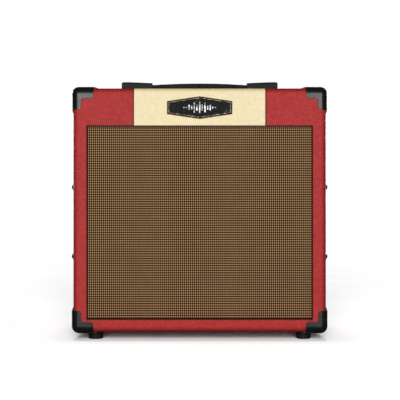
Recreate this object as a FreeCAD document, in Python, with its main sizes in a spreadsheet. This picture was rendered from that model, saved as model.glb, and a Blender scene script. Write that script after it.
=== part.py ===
import FreeCAD, Part
import math
import os
from types import SimpleNamespace

import Sketcher

# A small combo guitar amplifier: a vinyl covered wooden cabinet with a cloth grille, an 8 inch speaker,
# a chassis hung under the top board with its controls in a recess, and a strap handle.
# Millimetres. +Z is up, the front faces -Y, and the origin is on the floor under the cabinet's middle.

SIZES = {
    # cabinet
    "cab_width": 355,
    "cab_height": 342,
    "cab_depth": 205,
    "edge_radius": 8,
    "board_thick": 16,
    "side_thick": 17.5,
    "vinyl_thick": 0.8,
    "header_height": 52.6,
    "stripe_width": 184,
    "turn_in": 14,
    "batten_width": 17,
    "batten_depth": 20,
    # grille and baffle
    "grille_recess": 6,
    "grille_gap": 1.5,
    "grille_thick": 9,
    "grille_rail": 16,
    "cloth_thick": 0.8,
    "cloth_turn": 12,
    "baffle_thick": 12,
    "baffle_hole_radius": 93,
    # corner protectors and feet
    "corner_thick": 2.2,
    "corner_lip": 13.7,
    "corner_lip_tall": 16.7,
    "corner_arm": 30.7,
    "corner_arm_tall": 32.2,
    "corner_flange": 37.5,
    "corner_depth": 21.2,
    "corner_leg": 18.5,
    "corner_slope": 6,
    "foot_height": 12,
    "foot_radius": 11.5,
    "foot_bore": 5.5,
    "foot_taper": 1.3,
    "foot_spread": 148,
    "foot_depth": 70,
    # back panels
    "back_thick": 9,
    "back_recess": 2,
    "back_gap": 0.8,
    "lower_back_top": 120,
    "upper_back_bottom": 236,
    "window_half_width": 134,
    "window_bottom": 292,
    "window_top": 328,
    # screws
    "head_radius": 3.8,
    "shank_radius": 2,
    "short_screw": 16,
    "long_screw": 30,
    "washer_radius": 6.5,
    # handle
    "handle_y": -40,
    "cap_mouth": 68,
    "cap_end": 112,
    "cap_width": 31,
    "cap_height": 12.6,
    "cap_roof": 3,
    "cap_droop": 1.4,
    "cap_flat": 10,
    "cap_bevel": 1.6,
    "cap_wall": 2.5,
    "strap_width": 24,
    "strap_thick": 5,
    "strap_rise": 3.5,
    "grip_thick": 6.8,
    "inner_hinge": 32,
    "outer_hinge": 68,
    "hinge_gap": 1.5,
    "handle_bolt_x": 88,
    "handle_bolt_radius": 2.5,
    "handle_travel": 10.5,
    # badge
    "badge_width": 90.6,
    "badge_height": 31.4,
    "badge_end_height": 18,
    "badge_thick": 2.5,
    "badge_z": 326.5,
    # control recess and chassis
    "recess_half_width": 137,
    "recess_front": 18,
    "recess_back": 80,
    "chassis_half_width": 140,
    "chassis_front": 10,
    "chassis_back": 88,
    "chassis_height": 52.7,
    "sheet_thick": 1.2,
    "lid_thick": 1.5,
    "ear_reach": 151,
    "chassis_bolt_x": 145.5,
    "knob_row_y": 46,
    # controls
    "pot_size": 15,
    "pot_height": 7,
    "bushing_radius": 3.5,
    "bushing_rise": 5,
    "shaft_radius": 3,
    "knob_radius": 9,
    "knob_height": 13.5,
    "jack_bore": 3.25,
    "jack_bushing": 4.5,
    "jack_depth": 30,
    "mini_bore": 1.8,
    "button_radius": 4,
    "rocker_half_length": 7.6,
    "rocker_half_width": 4.8,
    # speaker
    "speaker_z": 165.4,
    "gasket_thick": 3,
    "gasket_bore": 95,
    "frame_radius": 104.5,
    "basket_lip": 90,
    "basket_sheet": 1.5,
    "basket_shoulder": 11,
    "basket_neck": 55.5,
    "basket_back": 53.5,
    "basket_hole": 20,
    "spider_seat": 38.2,
    "spider_ledge": 1.2,
    "spider_rim": 54,
    "spider_bore": 44.5,
    "screw_circle": 99.8,
    "magnet_radius": 50,
    "magnet_thick": 15,
    "magnet_bore": 24,
    "pole_plate": 5,
    "plate_radius": 45,
    "pole_radius": 12.4,
    "coil_radius": 13.25,
    "coil_wall": 0.35,
    "coil_front": 31,
    "winding_front": 51,
    "coil_back": 61,
    "cone_radius": 77.5,
    "cone_front": 5.8,
    "cone_back": 35,
    "cone_paper": 0.9,
    "dust_cap_radius": 20,
    "dust_cap_front": 23,
    "dust_cap_back": 30,
    "surround_outer": 94.8,
    "surround_skin": 0.8,
    "surround_front": 2.2,
}

CLEARANCE = 0.05  # radial room of a screw in its hole and of a shaft in its bushing
KNOB_X = {
    "clean_volume": 103,
    "drive_gain": 67,
    "drive_level": 43,
    "treble": 19,
    "middle": -5,
    "bass": -29,
}
TOP_JACK_X = (126, -66)
REAR_JACK_X = (60, 95)
MINI_JACK_X = -49
BUTTON_X = 85
LAMP_X = -92
ROCKER_X = -117
INLET_X = -100
FUSE_X = -58
REAR_ROW_Z = 310
ROCKER_TILT = 8
LEAD_Y = 30
SPOKE_COUNT = 6
WINDOW_NEAR = (57, 16)
WINDOW_FAR = (87.5, 27)
ROLL_INSIDE = 4.41
ROLL_OUTSIDE = 5.21
SPIDER_FOLDS = 8
SPIDER_PITCH = 4.4
SPIDER_WAVE = 1.4
LEAD_RADIUS = 1.1

doc = FreeCAD.newDocument("combo_amplifier")


class Size:
    """A length that carries both its value and the spreadsheet expression that gives it."""

    def __init__(self, value, text):
        self.value = float(value)
        self.text = text

    def __add__(self, other):
        other = as_size(other)
        return Size(self.value + other.value, f"({self.text} + {other.text})")

    def __sub__(self, other):
        other = as_size(other)
        return Size(self.value - other.value, f"({self.text} - {other.text})")

    def __mul__(self, other):
        other = as_size(other)
        return Size(self.value * other.value, f"({self.text} * {other.text})")

    def __truediv__(self, other):
        other = as_size(other)
        return Size(self.value / other.value, f"({self.text} / {other.text})")

    def __rsub__(self, other):
        return as_size(other) - self

    def __neg__(self):
        return Size(-self.value, f"(-{self.text})")

    __radd__ = __add__
    __rmul__ = __mul__


class Arc:
    """Bends the side between two outline points. A positive radius bulges to the left of travel."""

    def __init__(self, radius):
        self.radius = as_size(radius)


def as_size(number):
    if isinstance(number, Size):
        return number
    return Size(number, f"({float(number)})")


def make_sheet():
    """The driving dimensions, one aliased cell each."""
    sheet = doc.addObject("Spreadsheet::Sheet", "sizes")
    named = {}
    for row, (alias, value) in enumerate(SIZES.items(), start=1):
        sheet.set(f"A{row}", alias)
        sheet.set(f"B{row}", str(value))
        sheet.setAlias(f"B{row}", alias)
        named[alias] = Size(value, f"sizes.{alias}")
    doc.recompute()
    return SimpleNamespace(**named)


s = make_sheet()

# Planes of the cabinet that many parts share, from the outside in.
half_width = s.cab_width / 2
front = -s.cab_depth / 2
back = s.cab_depth / 2
bottom = s.foot_height
top = s.foot_height + s.cab_height
middle_z = s.foot_height + s.cab_height / 2
wood_x = half_width - s.vinyl_thick
wood_front = front + s.vinyl_thick
wood_back = back - s.vinyl_thick
wood_bottom = bottom + s.vinyl_thick
wood_top = top - s.vinyl_thick
inside_x = wood_x - s.side_thick
inside_bottom = wood_bottom + s.board_thick
inside_top = wood_top - s.board_thick
opening_x = inside_x - s.vinyl_thick
opening_bottom = inside_bottom + s.vinyl_thick
opening_top = inside_top - s.vinyl_thick
header_bottom = top - s.header_height
cloth_front = front + s.grille_recess
grille_front = cloth_front + s.cloth_thick
grille_back = grille_front + s.grille_thick
baffle_front = grille_back + s.cloth_thick
baffle_back = baffle_front + s.baffle_thick
back_outer = back - s.back_recess
back_inner = back_outer - s.back_thick
lid_top = inside_top
lid_bottom = lid_top - s.lid_thick
board_top = lid_bottom - s.pot_height
washer_rise = s.head_radius - s.shank_radius
cap_top = top + s.cap_height
strap_bottom = top + s.strap_rise
strap_middle = strap_bottom + s.strap_thick / 2

AXES = {
    "+z": ((1, 0, 0), (0, 1, 0), (0, 0, 1)),
    "-z": ((1, 0, 0), (0, -1, 0), (0, 0, -1)),
    "+y": ((-1, 0, 0), (0, 0, 1), (0, 1, 0)),
    "-y": ((1, 0, 0), (0, 0, 1), (0, -1, 0)),
    "+x": ((0, 1, 0), (0, 0, 1), (1, 0, 0)),
    "-x": ((0, -1, 0), (0, 0, 1), (-1, 0, 0)),
}

parts = {}
holes = {}


# ---- building blocks ----


def span(half):
    return (-as_size(half), as_size(half))


def around(centre, half):
    return (as_size(centre) - half, as_size(centre) + half)


def bind(obj, prop, size):
    """Ties a property to the sheet."""
    obj.setExpression(prop, as_size(size).text)


def place(obj, at, axis="+z"):
    """Puts the object's own origin at a point, with its own +Z along an axis."""
    x_way, y_way, z_way = (FreeCAD.Vector(*way) for way in AXES[axis])
    turn = FreeCAD.Rotation(x_way, y_way, z_way, "ZXY")
    obj.Placement = FreeCAD.Placement(FreeCAD.Vector(), turn)
    for letter, size in zip("xyz", at):
        if as_size(size).value:
            bind(obj, f"Placement.Base.{letter}", size)


def box(name, x, y, z):
    """A block between the low and high limits given along each axis."""
    obj = doc.addObject("Part::Box", name)
    for prop, (low, high) in (("Length", x), ("Width", y), ("Height", z)):
        bind(obj, prop, as_size(high) - low)
    place(obj, (x[0], y[0], z[0]))
    return obj


def rod(name, radius, at, length, axis="+z"):
    obj = doc.addObject("Part::Cylinder", name)
    bind(obj, "Radius", radius)
    bind(obj, "Height", length)
    place(obj, at, axis)
    return obj


def tube(name, outer, inner, at, length, axis="+z"):
    outside = rod(name + "_outside", outer, at, length, axis)
    return cut(name, outside, rod(name + "_bore", inner, at, length, axis))


def fuse(name, *shapes):
    if len(shapes) == 1:
        return shapes[0]
    obj = doc.addObject("Part::MultiFuse", name)
    obj.Shapes = list(shapes)
    return obj


def group(name, *shapes):
    """Separate solids that share one object."""
    obj = doc.addObject("Part::Compound", name)
    obj.Links = list(shapes)
    return obj


def cut(name, base, *tools):
    obj = doc.addObject("Part::Cut", name)
    obj.Base = base
    obj.Tool = fuse(name + "_tools", *tools)
    return obj


def common(name, one, other):
    obj = doc.addObject("Part::MultiCommon", name)
    obj.Shapes = [one, other]
    return obj


def mirror(obj, axis):
    """The object together with its mirror image across one of the cabinet's middle planes."""
    image = doc.addObject("Part::Mirroring", obj.Name + "_image")
    image.Source = obj
    image.Normal = FreeCAD.Vector(*[float(letter == axis) for letter in "xyz"])
    if axis == "z":
        bind(image, "Base.z", middle_z)
    return group(obj.Name + "_pair", obj, image)


def new_body(name, at=(0, 0, 0), axis="+z"):
    body = doc.addObject("PartDesign::Body", name)
    place(body, at, axis)
    return body


def pin_point(sketch, geo, end, way, size):
    """Fixes one coordinate of a sketch point to the sheet."""
    axis_line = {"DistanceX": -2, "DistanceY": -1}[way]
    if abs(size.value) < 1e-9:
        sketch.addConstraint(Sketcher.Constraint("PointOnObject", geo, end, axis_line))
        return
    size, order = (size, (-1, 1, geo, end)) if size.value > 0 else (-size, (geo, end, -1, 1))
    index = sketch.addConstraint(Sketcher.Constraint(way, *order, size.value))
    sketch.setExpression(f"Constraints[{index}]", size.text)


def arc_middle(start, end, arc):
    """The point halfway along an arc between two points."""
    chord = end - start
    left = FreeCAD.Vector(-chord.y, chord.x, 0).normalize()
    radius = abs(arc.radius.value)
    reach = radius - math.sqrt(max(radius**2 - (chord.Length / 2) ** 2, 0))
    return (start + end) / 2 + left * math.copysign(reach, arc.radius.value)


def new_sketch(body, plane, rise=0):
    sketch = body.newObject("Sketcher::SketchObject", body.Name + "_sketch")
    support = next(f for f in body.Origin.OriginFeatures if f.Role == plane)
    sketch.AttachmentSupport = [(support, "")]
    sketch.MapMode = "FlatFace"
    if as_size(rise).value:
        bind(sketch, "AttachmentOffset.Base.z", rise)
    return sketch


def draw(sketch, path):
    """Adds a closed outline through the points of path, with an Arc where one stands between two points."""
    points = [tuple(as_size(c) for c in p) for p in path if not isinstance(p, Arc)]
    bends = {}
    seen = 0
    for item in path:
        if isinstance(item, Arc):
            bends[seen - 1] = item
        else:
            seen += 1
    first = None
    for i, (x, y) in enumerate(points):
        next_x, next_y = points[(i + 1) % len(points)]
        start = FreeCAD.Vector(x.value, y.value, 0)
        end = FreeCAD.Vector(next_x.value, next_y.value, 0)
        start_end, far_end = 1, 2
        if i in bends:
            middle = arc_middle(start, end, bends[i])
            geo = sketch.addGeometry(Part.Arc(start, middle, end), False)
            turn = (middle - start).cross(end - start).z
            start_end, far_end = (1, 2) if turn > 0 else (2, 1)
            radius = bends[i].radius
            radius = radius if radius.value > 0 else -radius
            index = sketch.addConstraint(Sketcher.Constraint("Radius", geo, radius.value))
            sketch.setExpression(f"Constraints[{index}]", radius.text)
        else:
            geo = sketch.addGeometry(Part.LineSegment(start, end), False)
        if first is None:
            first = (geo, start_end)
        else:
            sketch.addConstraint(Sketcher.Constraint("Coincident", *last, geo, start_end))
        pin_point(sketch, geo, start_end, "DistanceX", x)
        pin_point(sketch, geo, start_end, "DistanceY", y)
        last = (geo, far_end)
    sketch.addConstraint(Sketcher.Constraint("Coincident", *last, *first))
    return sketch


def revolve(name, profile, at=(0, 0, 0), axis="+z"):
    """A turned body. The profile's points are radius and height along the axis."""
    body = new_body(name, at, axis)
    turned = body.newObject("PartDesign::Revolution", name + "_turned")
    turned.Profile = draw(new_sketch(body, "XZ_Plane"), profile)
    turned.ReferenceAxis = (turned.Profile[0], ["V_Axis"])
    turned.Angle = 360
    return body


def extrude(name, path, length, at=(0, 0, 0), axis="+z"):
    """A flat outline drawn across the axis and pushed along it."""
    body = new_body(name, at, axis)
    pad = body.newObject("PartDesign::Pad", name + "_pad")
    pad.Profile = draw(new_sketch(body, "XY_Plane"), path)
    bind(pad, "Length", length)
    return body


def pocket(body, path, depth, rise=0, reverse=False):
    """Cuts an outline into a body, down its own Z from a height, or up it when reversed."""
    feature = body.newObject("PartDesign::Pocket", body.Name + "_pocket")
    feature.Profile = draw(new_sketch(body, "XY_Plane", rise), path)
    bind(feature, "Length", depth)
    feature.Reversed = reverse
    return feature


def repeat_round(body, feature, count):
    """Repeats a feature evenly round its body's own Z axis."""
    pattern = body.newObject("PartDesign::PolarPattern", body.Name + "_ring")
    pattern.Originals = [feature]
    pattern.Axis = (feature.Profile[0], ["N_Axis"])
    pattern.Angle = 360
    pattern.Occurrences = count
    body.Tip = pattern
    return pattern


def rectangle(x, y):
    return [(x[0], y[0]), (x[1], y[0]), (x[1], y[1]), (x[0], y[1])]


def rounded_block(name, inset):
    """The cabinet's outer form, moved inwards by inset, with every edge rounded."""
    body = new_body(name, (0, 0, bottom + inset))
    pad = body.newObject("PartDesign::Pad", name + "_pad")
    pad.Profile = draw(new_sketch(body, "XY_Plane"), rectangle(span(half_width - inset), span(back - inset)))
    bind(pad, "Length", s.cab_height - as_size(inset) * 2)
    doc.recompute()
    fillet = body.newObject("PartDesign::Fillet", name + "_round")
    fillet.Base = (pad, ["Edge1"])
    fillet.UseAllEdges = True
    bind(fillet, "Radius", s.edge_radius - inset)
    return body


def edges_where(obj, test):
    """Names of the straight edges that pass a test of their two ends."""
    doc.recompute()
    found = []
    for number, edge in enumerate(obj.Shape.Edges, start=1):
        start, end = edge.Vertexes[0].Point, edge.Vertexes[-1].Point
        if abs(edge.Length - (end - start).Length) < 1e-6 and test(start, end):
            found.append(number)
    return found


def drill(cutter, *names):
    """Remembers a hole that the named parts get when they are finished."""
    for name in names:
        holes.setdefault(name, []).append(cutter)


def finish(name, shape):
    """Drills a part's holes and keeps it under its own name."""
    if name in holes:
        shape = cut(name + "_drilled", shape, *holes[name])
    shape.Label = name
    parts[name] = shape
    return shape


# ---- fasteners ----


def screw_profile(head, shank, length, room=0, dome=0):
    """A countersunk screw, from its head, flat or with a raised middle, to its tip."""
    crown = [(0, -dome), (head * 0.55, -dome), (head + room, 0)] if dome else [(0, 0), (head + room, 0)]
    return [
        *crown,
        (shank + room, head - shank),
        (shank + room, length - shank + room),
        (0, length + room),
    ]


def cross_slot(half_length, half_width):
    """The outline of a cross recess."""
    a, b = half_length, half_width
    arm = [(a, -b), (a, b), (b, b)]
    quarter_turns = [arm]
    for _ in range(3):
        quarter_turns.append([(-y, x) for x, y in quarter_turns[-1]])
    return [point for turn in quarter_turns for point in turn]


def countersunk(name, at, axis, length, through, head=s.head_radius, shank=s.shank_radius, flip="", dome=0):
    """A countersunk screw driven along an axis from its head, with its mirror images and its holes."""
    solid = revolve(name, screw_profile(head, shank, length, dome=dome), at, axis)
    pocket(solid, cross_slot(head * 0.5, 0.4), 1.2, -dome, reverse=True)
    hole = revolve(name + "_hole", screw_profile(head, shank, length, CLEARANCE), at, axis)
    for letter in flip:
        solid = mirror(solid, letter)
        hole = mirror(hole, letter)
    drill(hole, *through)
    return solid


def cup_washer(name, at, axis, flip=""):
    """A pressed cup that a countersunk head sits in, from its rim down to the surface it stands on."""
    rim = s.head_radius + CLEARANCE
    profile = [
        (rim, 0),
        (rim + 0.8, 0),
        Arc(-4),
        (s.washer_radius, washer_rise),
        (s.shank_radius + CLEARANCE, washer_rise),
    ]
    washer = revolve(name, profile, at, axis)
    for letter in flip:
        washer = mirror(washer, letter)
    return washer


def hex_nut(name, circumradius, bore, at, height, axis="+z"):
    prism = doc.addObject("Part::Prism", name + "_hex")
    prism.Polygon = 6
    bind(prism, "Circumradius", circumradius)
    bind(prism, "Height", height)
    place(prism, at, axis)
    return cut(name, prism, rod(name + "_bore", bore, at, height, axis))


CORNER_ROUND = 3.5
CORNER_SCREW_IN = 27.5
CORNER_SCREW_BACK = 14.2
SIDE_SCREW_Z = (117.5, 215.5)
LOWER_SCREW_Z = (42, 108)
UPPER_SCREW_Z = (248, 322)
BAFFLE_SCREW_Z = (48, 168, 290)
CHASSIS_BOLT_Y = (22, 60)
CHASSIS_BOLT_LENGTH = 27
NUT_HEIGHT = 3.6
HANDLE_BOLT_LENGTH = 36.5
FOOT_RECESS = 8
FOOT_ROUND = 1.2


def make_fasteners():
    """Every screw and bolt that holds the cabinet, with the holes that they need."""
    corner_x = half_width + s.corner_thick
    corner_top = top + s.corner_thick
    corner_y = front - s.corner_thick + CORNER_SCREW_BACK
    batten_x = inside_x - s.batten_width / 2
    side_y = baffle_back - s.baffle_thick / 2
    washer_x = half_width + washer_rise
    washer_y = back_outer + washer_rise
    washer_top = top + washer_rise
    skins = ("corner_protectors", "red_vinyl_covering")
    sides = ("cabinet_left_side", "cabinet_right_side")
    screws = [
        countersunk(
            "corner_top_screw",
            (corner_x - CORNER_SCREW_IN, corner_y, corner_top),
            "-z",
            s.short_screw,
            (*skins, "cabinet_top_board", "cabinet_bottom_board"),
            flip="xyz",
        ),
        countersunk(
            "corner_side_screw",
            (corner_x, corner_y, corner_top - CORNER_SCREW_IN),
            "-x",
            s.short_screw,
            (*skins, *sides),
            flip="xyz",
        ),
        countersunk(
            "foot_screw",
            (s.foot_spread, s.foot_depth, FOOT_RECESS),
            "+z",
            s.short_screw,
            ("rubber_feet", "red_vinyl_covering", "cabinet_bottom_board"),
            flip="xy",
        ),
    ]
    washers = []
    for i, z in enumerate(SIDE_SCREW_Z):
        at = (washer_x, side_y, z)
        through = ("red_vinyl_covering", *sides, "baffle_board")
        screws.append(countersunk(f"side_screw_{i}", at, "-x", s.long_screw, through, flip="x", dome=1.6))
        washers.append(cup_washer(f"side_washer_{i}", at, "-x", flip="x"))
    for panel, heights in (("lower_back_panel", LOWER_SCREW_Z), ("upper_back_panel", UPPER_SCREW_Z)):
        for i, z in enumerate(heights):
            at = (batten_x, washer_y, z)
            name = f"{panel}_screw_{i}"
            screws.append(countersunk(name, at, "-y", s.long_screw, (panel, "battens"), flip="x"))
            washers.append(cup_washer(f"{panel}_washer_{i}", at, "-y", flip="x"))
    for i, z in enumerate(BAFFLE_SCREW_Z):
        at = (batten_x, baffle_front, z)
        through = ("baffle_board", "battens")
        screws.append(countersunk(f"baffle_screw_{i}", at, "+y", s.long_screw, through, flip="x"))
    bolts = []
    for i, y in enumerate(CHASSIS_BOLT_Y):
        at = (s.chassis_bolt_x, y, washer_top)
        through = ("red_vinyl_covering", "cabinet_top_board", "control_panel")
        bolts.append(countersunk(f"chassis_bolt_{i}", at, "-z", CHASSIS_BOLT_LENGTH, through, flip="x"))
        nut_at = (s.chassis_bolt_x, y, lid_bottom - NUT_HEIGHT)
        nut = hex_nut(f"chassis_nut_{i}", 4.04, s.shank_radius + CLEARANCE, nut_at, NUT_HEIGHT)
        bolts.append(mirror(nut, "x"))
        washers.append(cup_washer(f"chassis_washer_{i}", at, "-z", flip="x"))
    finish("wood_screws", group("all_wood_screws", *screws))
    finish("cup_washers", group("all_cup_washers", *washers))
    finish("chassis_bolts", group("all_chassis_bolts", *bolts))


def make_handle_fixings():
    """The bolt, nut, washer and base plate of each end of the handle."""
    at = (s.handle_bolt_x, s.handle_y, cap_top)
    radius = s.handle_bolt_radius
    bolt = countersunk(
        "handle_bolt",
        at,
        "-z",
        HANDLE_BOLT_LENGTH,
        ("handle_end_caps", "cream_vinyl_stripe", "cabinet_top_board", "handle_plate"),
        head=radius * 1.8,
        shank=radius,
        flip="x",
    )
    hole = radius + CLEARANCE
    nut_at = (s.handle_bolt_x, s.handle_y, inside_top - 5)
    washer_at = (s.handle_bolt_x, s.handle_y, inside_top - 1)
    nut = hex_nut("handle_nut", 4.6, hole, nut_at, 4)
    washer = tube("handle_washer", 7, hole, washer_at, 1)
    plate = box(
        "handle_plate_blank",
        (s.cap_mouth + 1.5, s.cap_end - s.cap_wall - 0.5),
        around(s.handle_y, s.cap_width / 2 - s.cap_wall - 0.5),
        (top, top + 2),
    )
    plate_hole = rod("handle_plate_hole", hole, (s.handle_bolt_x, s.handle_y, top), 2)
    plate = cut("handle_plate", plate, plate_hole)
    loose = [mirror(item, "x") for item in (nut, washer, plate)]
    finish("handle_fixings", group("all_handle_fixings", bolt, *loose))


# ---- cabinet ----


def make_boards():
    """Top, bottom and side boards, cut from one rounded block, and the header board behind the top strip."""
    block = rounded_block("wood_block", s.vinyl_thick)
    whole_x = span(half_width)
    whole_y = (front, back)
    recess = box(
        "recess_in_wood",
        span(s.recess_half_width + s.vinyl_thick),
        (s.recess_front - s.vinyl_thick, s.recess_back + s.vinyl_thick),
        (inside_top, top),
    )
    top_board = common("top_slab", block, box("top_zone", whole_x, whole_y, (inside_top, top)))
    finish("cabinet_top_board", cut("top_with_recess", top_board, recess))
    bottom_zone = box("bottom_zone", whole_x, whole_y, (bottom, inside_bottom))
    finish("cabinet_bottom_board", common("bottom_slab", block, bottom_zone))
    for side, limits in (("left", (-half_width, -inside_x)), ("right", (inside_x, half_width))):
        zone = box(f"{side}_zone", limits, whole_y, (inside_bottom, inside_top))
        finish(f"cabinet_{side}_side", common(f"{side}_slab", block, zone))
    header_z = (header_bottom + s.vinyl_thick, inside_top)
    finish("header_board", box("header_slab", span(inside_x), (wood_front, baffle_front), header_z))


def make_covering():
    """The vinyl: red over the whole cabinet, with a cream stripe let in over the header and the top."""
    outside = rounded_block("vinyl_outside", 0)
    shell = cut("vinyl_shell", outside, rounded_block("vinyl_inside", s.vinyl_thick))
    front_lining = box(
        "front_lining",
        span(inside_x),
        (wood_front, wood_front + s.turn_in),
        (inside_bottom, header_bottom + s.vinyl_thick),
    )
    back_lining = box("back_lining", span(inside_x), (back_inner, wood_back), (inside_bottom, inside_top))
    recess_lining = box(
        "recess_lining",
        span(s.recess_half_width + s.vinyl_thick),
        (s.recess_front - s.vinyl_thick, s.recess_back + s.vinyl_thick),
        (inside_top, wood_top),
    )
    skin = cut(
        "vinyl_skin",
        fuse("vinyl_sheet", shell, front_lining, back_lining, recess_lining),
        box("front_opening", span(opening_x), (front - 1, 0), (opening_bottom, header_bottom)),
        box("back_opening", span(opening_x), (0, back + 1), (opening_bottom, opening_top)),
        box(
            "recess_opening",
            span(s.recess_half_width),
            (s.recess_front, s.recess_back),
            (middle_z, top + 1),
        ),
    )
    stripe = box(
        "stripe_zone",
        span(s.stripe_width / 2),
        (front - 1, s.recess_front),
        (header_bottom - 1, top + 1),
    )
    finish("red_vinyl_covering", cut("red_vinyl", skin, stripe))
    finish("cream_vinyl_stripe", common("cream_vinyl", skin, stripe))


def make_battens():
    """Square battens in the corners that the baffle and the back panels are screwed to."""
    x = (inside_x - s.batten_width, inside_x)
    height = (inside_bottom, inside_top)
    front_pair = mirror(box("front_batten", x, (baffle_back, baffle_back + s.batten_depth), height), "x")
    back_pair = mirror(box("back_batten", x, (back_inner - s.batten_depth, back_inner), height), "x")
    bottom_batten = box(
        "bottom_batten",
        span(inside_x - s.batten_width),
        (back_inner - s.batten_depth, back_inner),
        (inside_bottom, inside_bottom + s.batten_width),
    )
    finish("battens", group("all_battens", front_pair, back_pair, bottom_batten))


def make_grille():
    """The cloth covered grille frame and the baffle board behind it."""
    half = opening_x - s.grille_gap - s.cloth_thick
    low = opening_bottom + s.grille_gap + s.cloth_thick
    high = header_bottom - s.grille_gap - s.cloth_thick
    rail = s.grille_rail
    finish(
        "grille_frame",
        cut(
            "grille_frame_blank",
            box("grille_panel", span(half), (grille_front, grille_back), (low, high)),
            box("grille_hole", span(half - rail), (grille_front, grille_back), (low + rail, high - rail)),
        ),
    )
    cloth = s.cloth_thick
    turn = s.cloth_turn
    outside_z = (low - cloth, high + cloth)
    hole_z = (low + turn, high - turn)
    finish(
        "grille_cloth",
        cut(
            "grille_cloth_blank",
            box("cloth_outside", span(half + cloth), (cloth_front, baffle_front), outside_z),
            box("cloth_inside", span(half), (grille_front, grille_back), (low, high)),
            box("cloth_back_hole", span(half - turn), (grille_back - 1, baffle_front), hole_z),
        ),
    )
    hole = rod("baffle_hole", s.baffle_hole_radius, (0, baffle_front, s.speaker_z), s.baffle_thick, "+y")
    board = box("baffle_slab", span(inside_x), (baffle_front, baffle_back), (inside_bottom, inside_top))
    finish("baffle_board", cut("baffle_with_hole", board, hole))


def make_back_panels():
    """The two rear boards, with the middle of the back left open. Sockets show in the upper one's window."""
    x = span(opening_x - s.back_gap)
    y = (back_inner, back_outer)
    upper = box("upper_back_slab", x, y, (s.upper_back_bottom, opening_top - s.back_gap))
    window = box("socket_window", span(s.window_half_width), y, (s.window_bottom, s.window_top))
    finish("upper_back_panel", cut("upper_back_with_window", upper, window))
    finish("lower_back_panel", box("lower_back_slab", x, y, (opening_bottom + s.back_gap, s.lower_back_top)))


# ---- cabinet hardware ----


def make_corners():
    """Moulded corners: a thin shell over each corner, with narrow lips on the cabinet's front and back."""
    thick = s.corner_thick
    right, near, high = half_width + thick, front - thick, top + thick
    outside = rounded_block("corner_outside", -thick)
    shell = cut("corner_shell", outside, rounded_block("corner_inside", -CLEARANCE))
    lip = s.corner_lip
    ledge = near + s.edge_radius

    def reach(name, along_x, along_y, along_z):
        return box(name, (right - along_x, right), along_y, (high - along_z, high))

    lips = (near, near + lip)
    flange = (ledge, near + s.corner_depth)
    zone = fuse(
        "corner_zone",
        reach("corner_lip_x", s.corner_arm, lips, s.corner_lip_tall),
        reach("corner_lip_z", lip, lips, s.corner_arm_tall),
        reach("corner_leg_y", s.corner_leg, (near, near + s.corner_flange), s.corner_leg),
        reach("corner_top_flange", s.corner_flange, flange, thick),
        reach("corner_side_flange", thick, flange, s.corner_flange),
    )
    notch = box(
        "corner_notch",
        (right - s.corner_depth - 1, right - lip),
        (near - 1, near + s.edge_radius),
        (high - s.corner_depth - 1, high - s.corner_lip_tall),
    )
    piece = common("corner_piece", shell, cut("corner_reach", zone, notch))

    def through_thickness(one, other):
        return abs((one - other).Length - thick.value + CLEARANCE) < 0.01

    rounded = doc.addObject("Part::Fillet", "corner_rounded")
    rounded.Base = piece
    numbers = edges_where(piece, through_thickness)
    rounded.Edges = [(number, CORNER_ROUND, CORNER_ROUND) for number in numbers]
    corner = cut("corner_sloped", rounded, *corner_slopes(right, high))
    for letter in "xyz":
        corner = mirror(corner, letter)
    finish("corner_protectors", corner)


def corner_slopes(right, high):
    """Wedges that thin the two flanges towards their ends."""
    flange, run, thick = s.corner_flange, s.corner_slope, s.corner_thick
    top_wedge = [
        (right - flange, high - thick),
        (right - flange + run, high),
        (right - flange + run, high + 1),
        (right - flange - 1, high + 1),
        (right - flange - 1, high - thick),
    ]
    side_wedge = [
        (right - thick, high - flange),
        (right - thick, high - flange - 1),
        (right + 1, high - flange - 1),
        (right + 1, high - flange + run),
        (right, high - flange + run),
    ]
    start = (0, front + s.corner_flange - s.corner_thick, 0)
    wedges = []
    for name, outline in (("corner_top_wedge", top_wedge), ("corner_side_wedge", side_wedge)):
        wedges.append(extrude(name, outline, s.corner_flange, start, "-y"))
    return wedges


def make_feet():
    """Tapered rubber feet with a deep recess for the screw."""
    rim = s.foot_radius - s.foot_taper
    profile = [
        (s.foot_bore, 0),
        (rim - FOOT_ROUND, 0),
        Arc(-1.5),
        (rim, FOOT_ROUND),
        (s.foot_radius, s.foot_height),
        (0, s.foot_height),
        (0, FOOT_RECESS),
        (s.foot_bore, FOOT_RECESS),
    ]
    foot = mirror(mirror(revolve("foot", profile, (s.foot_spread, s.foot_depth, 0)), "x"), "y")
    finish("rubber_feet", foot)


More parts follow.
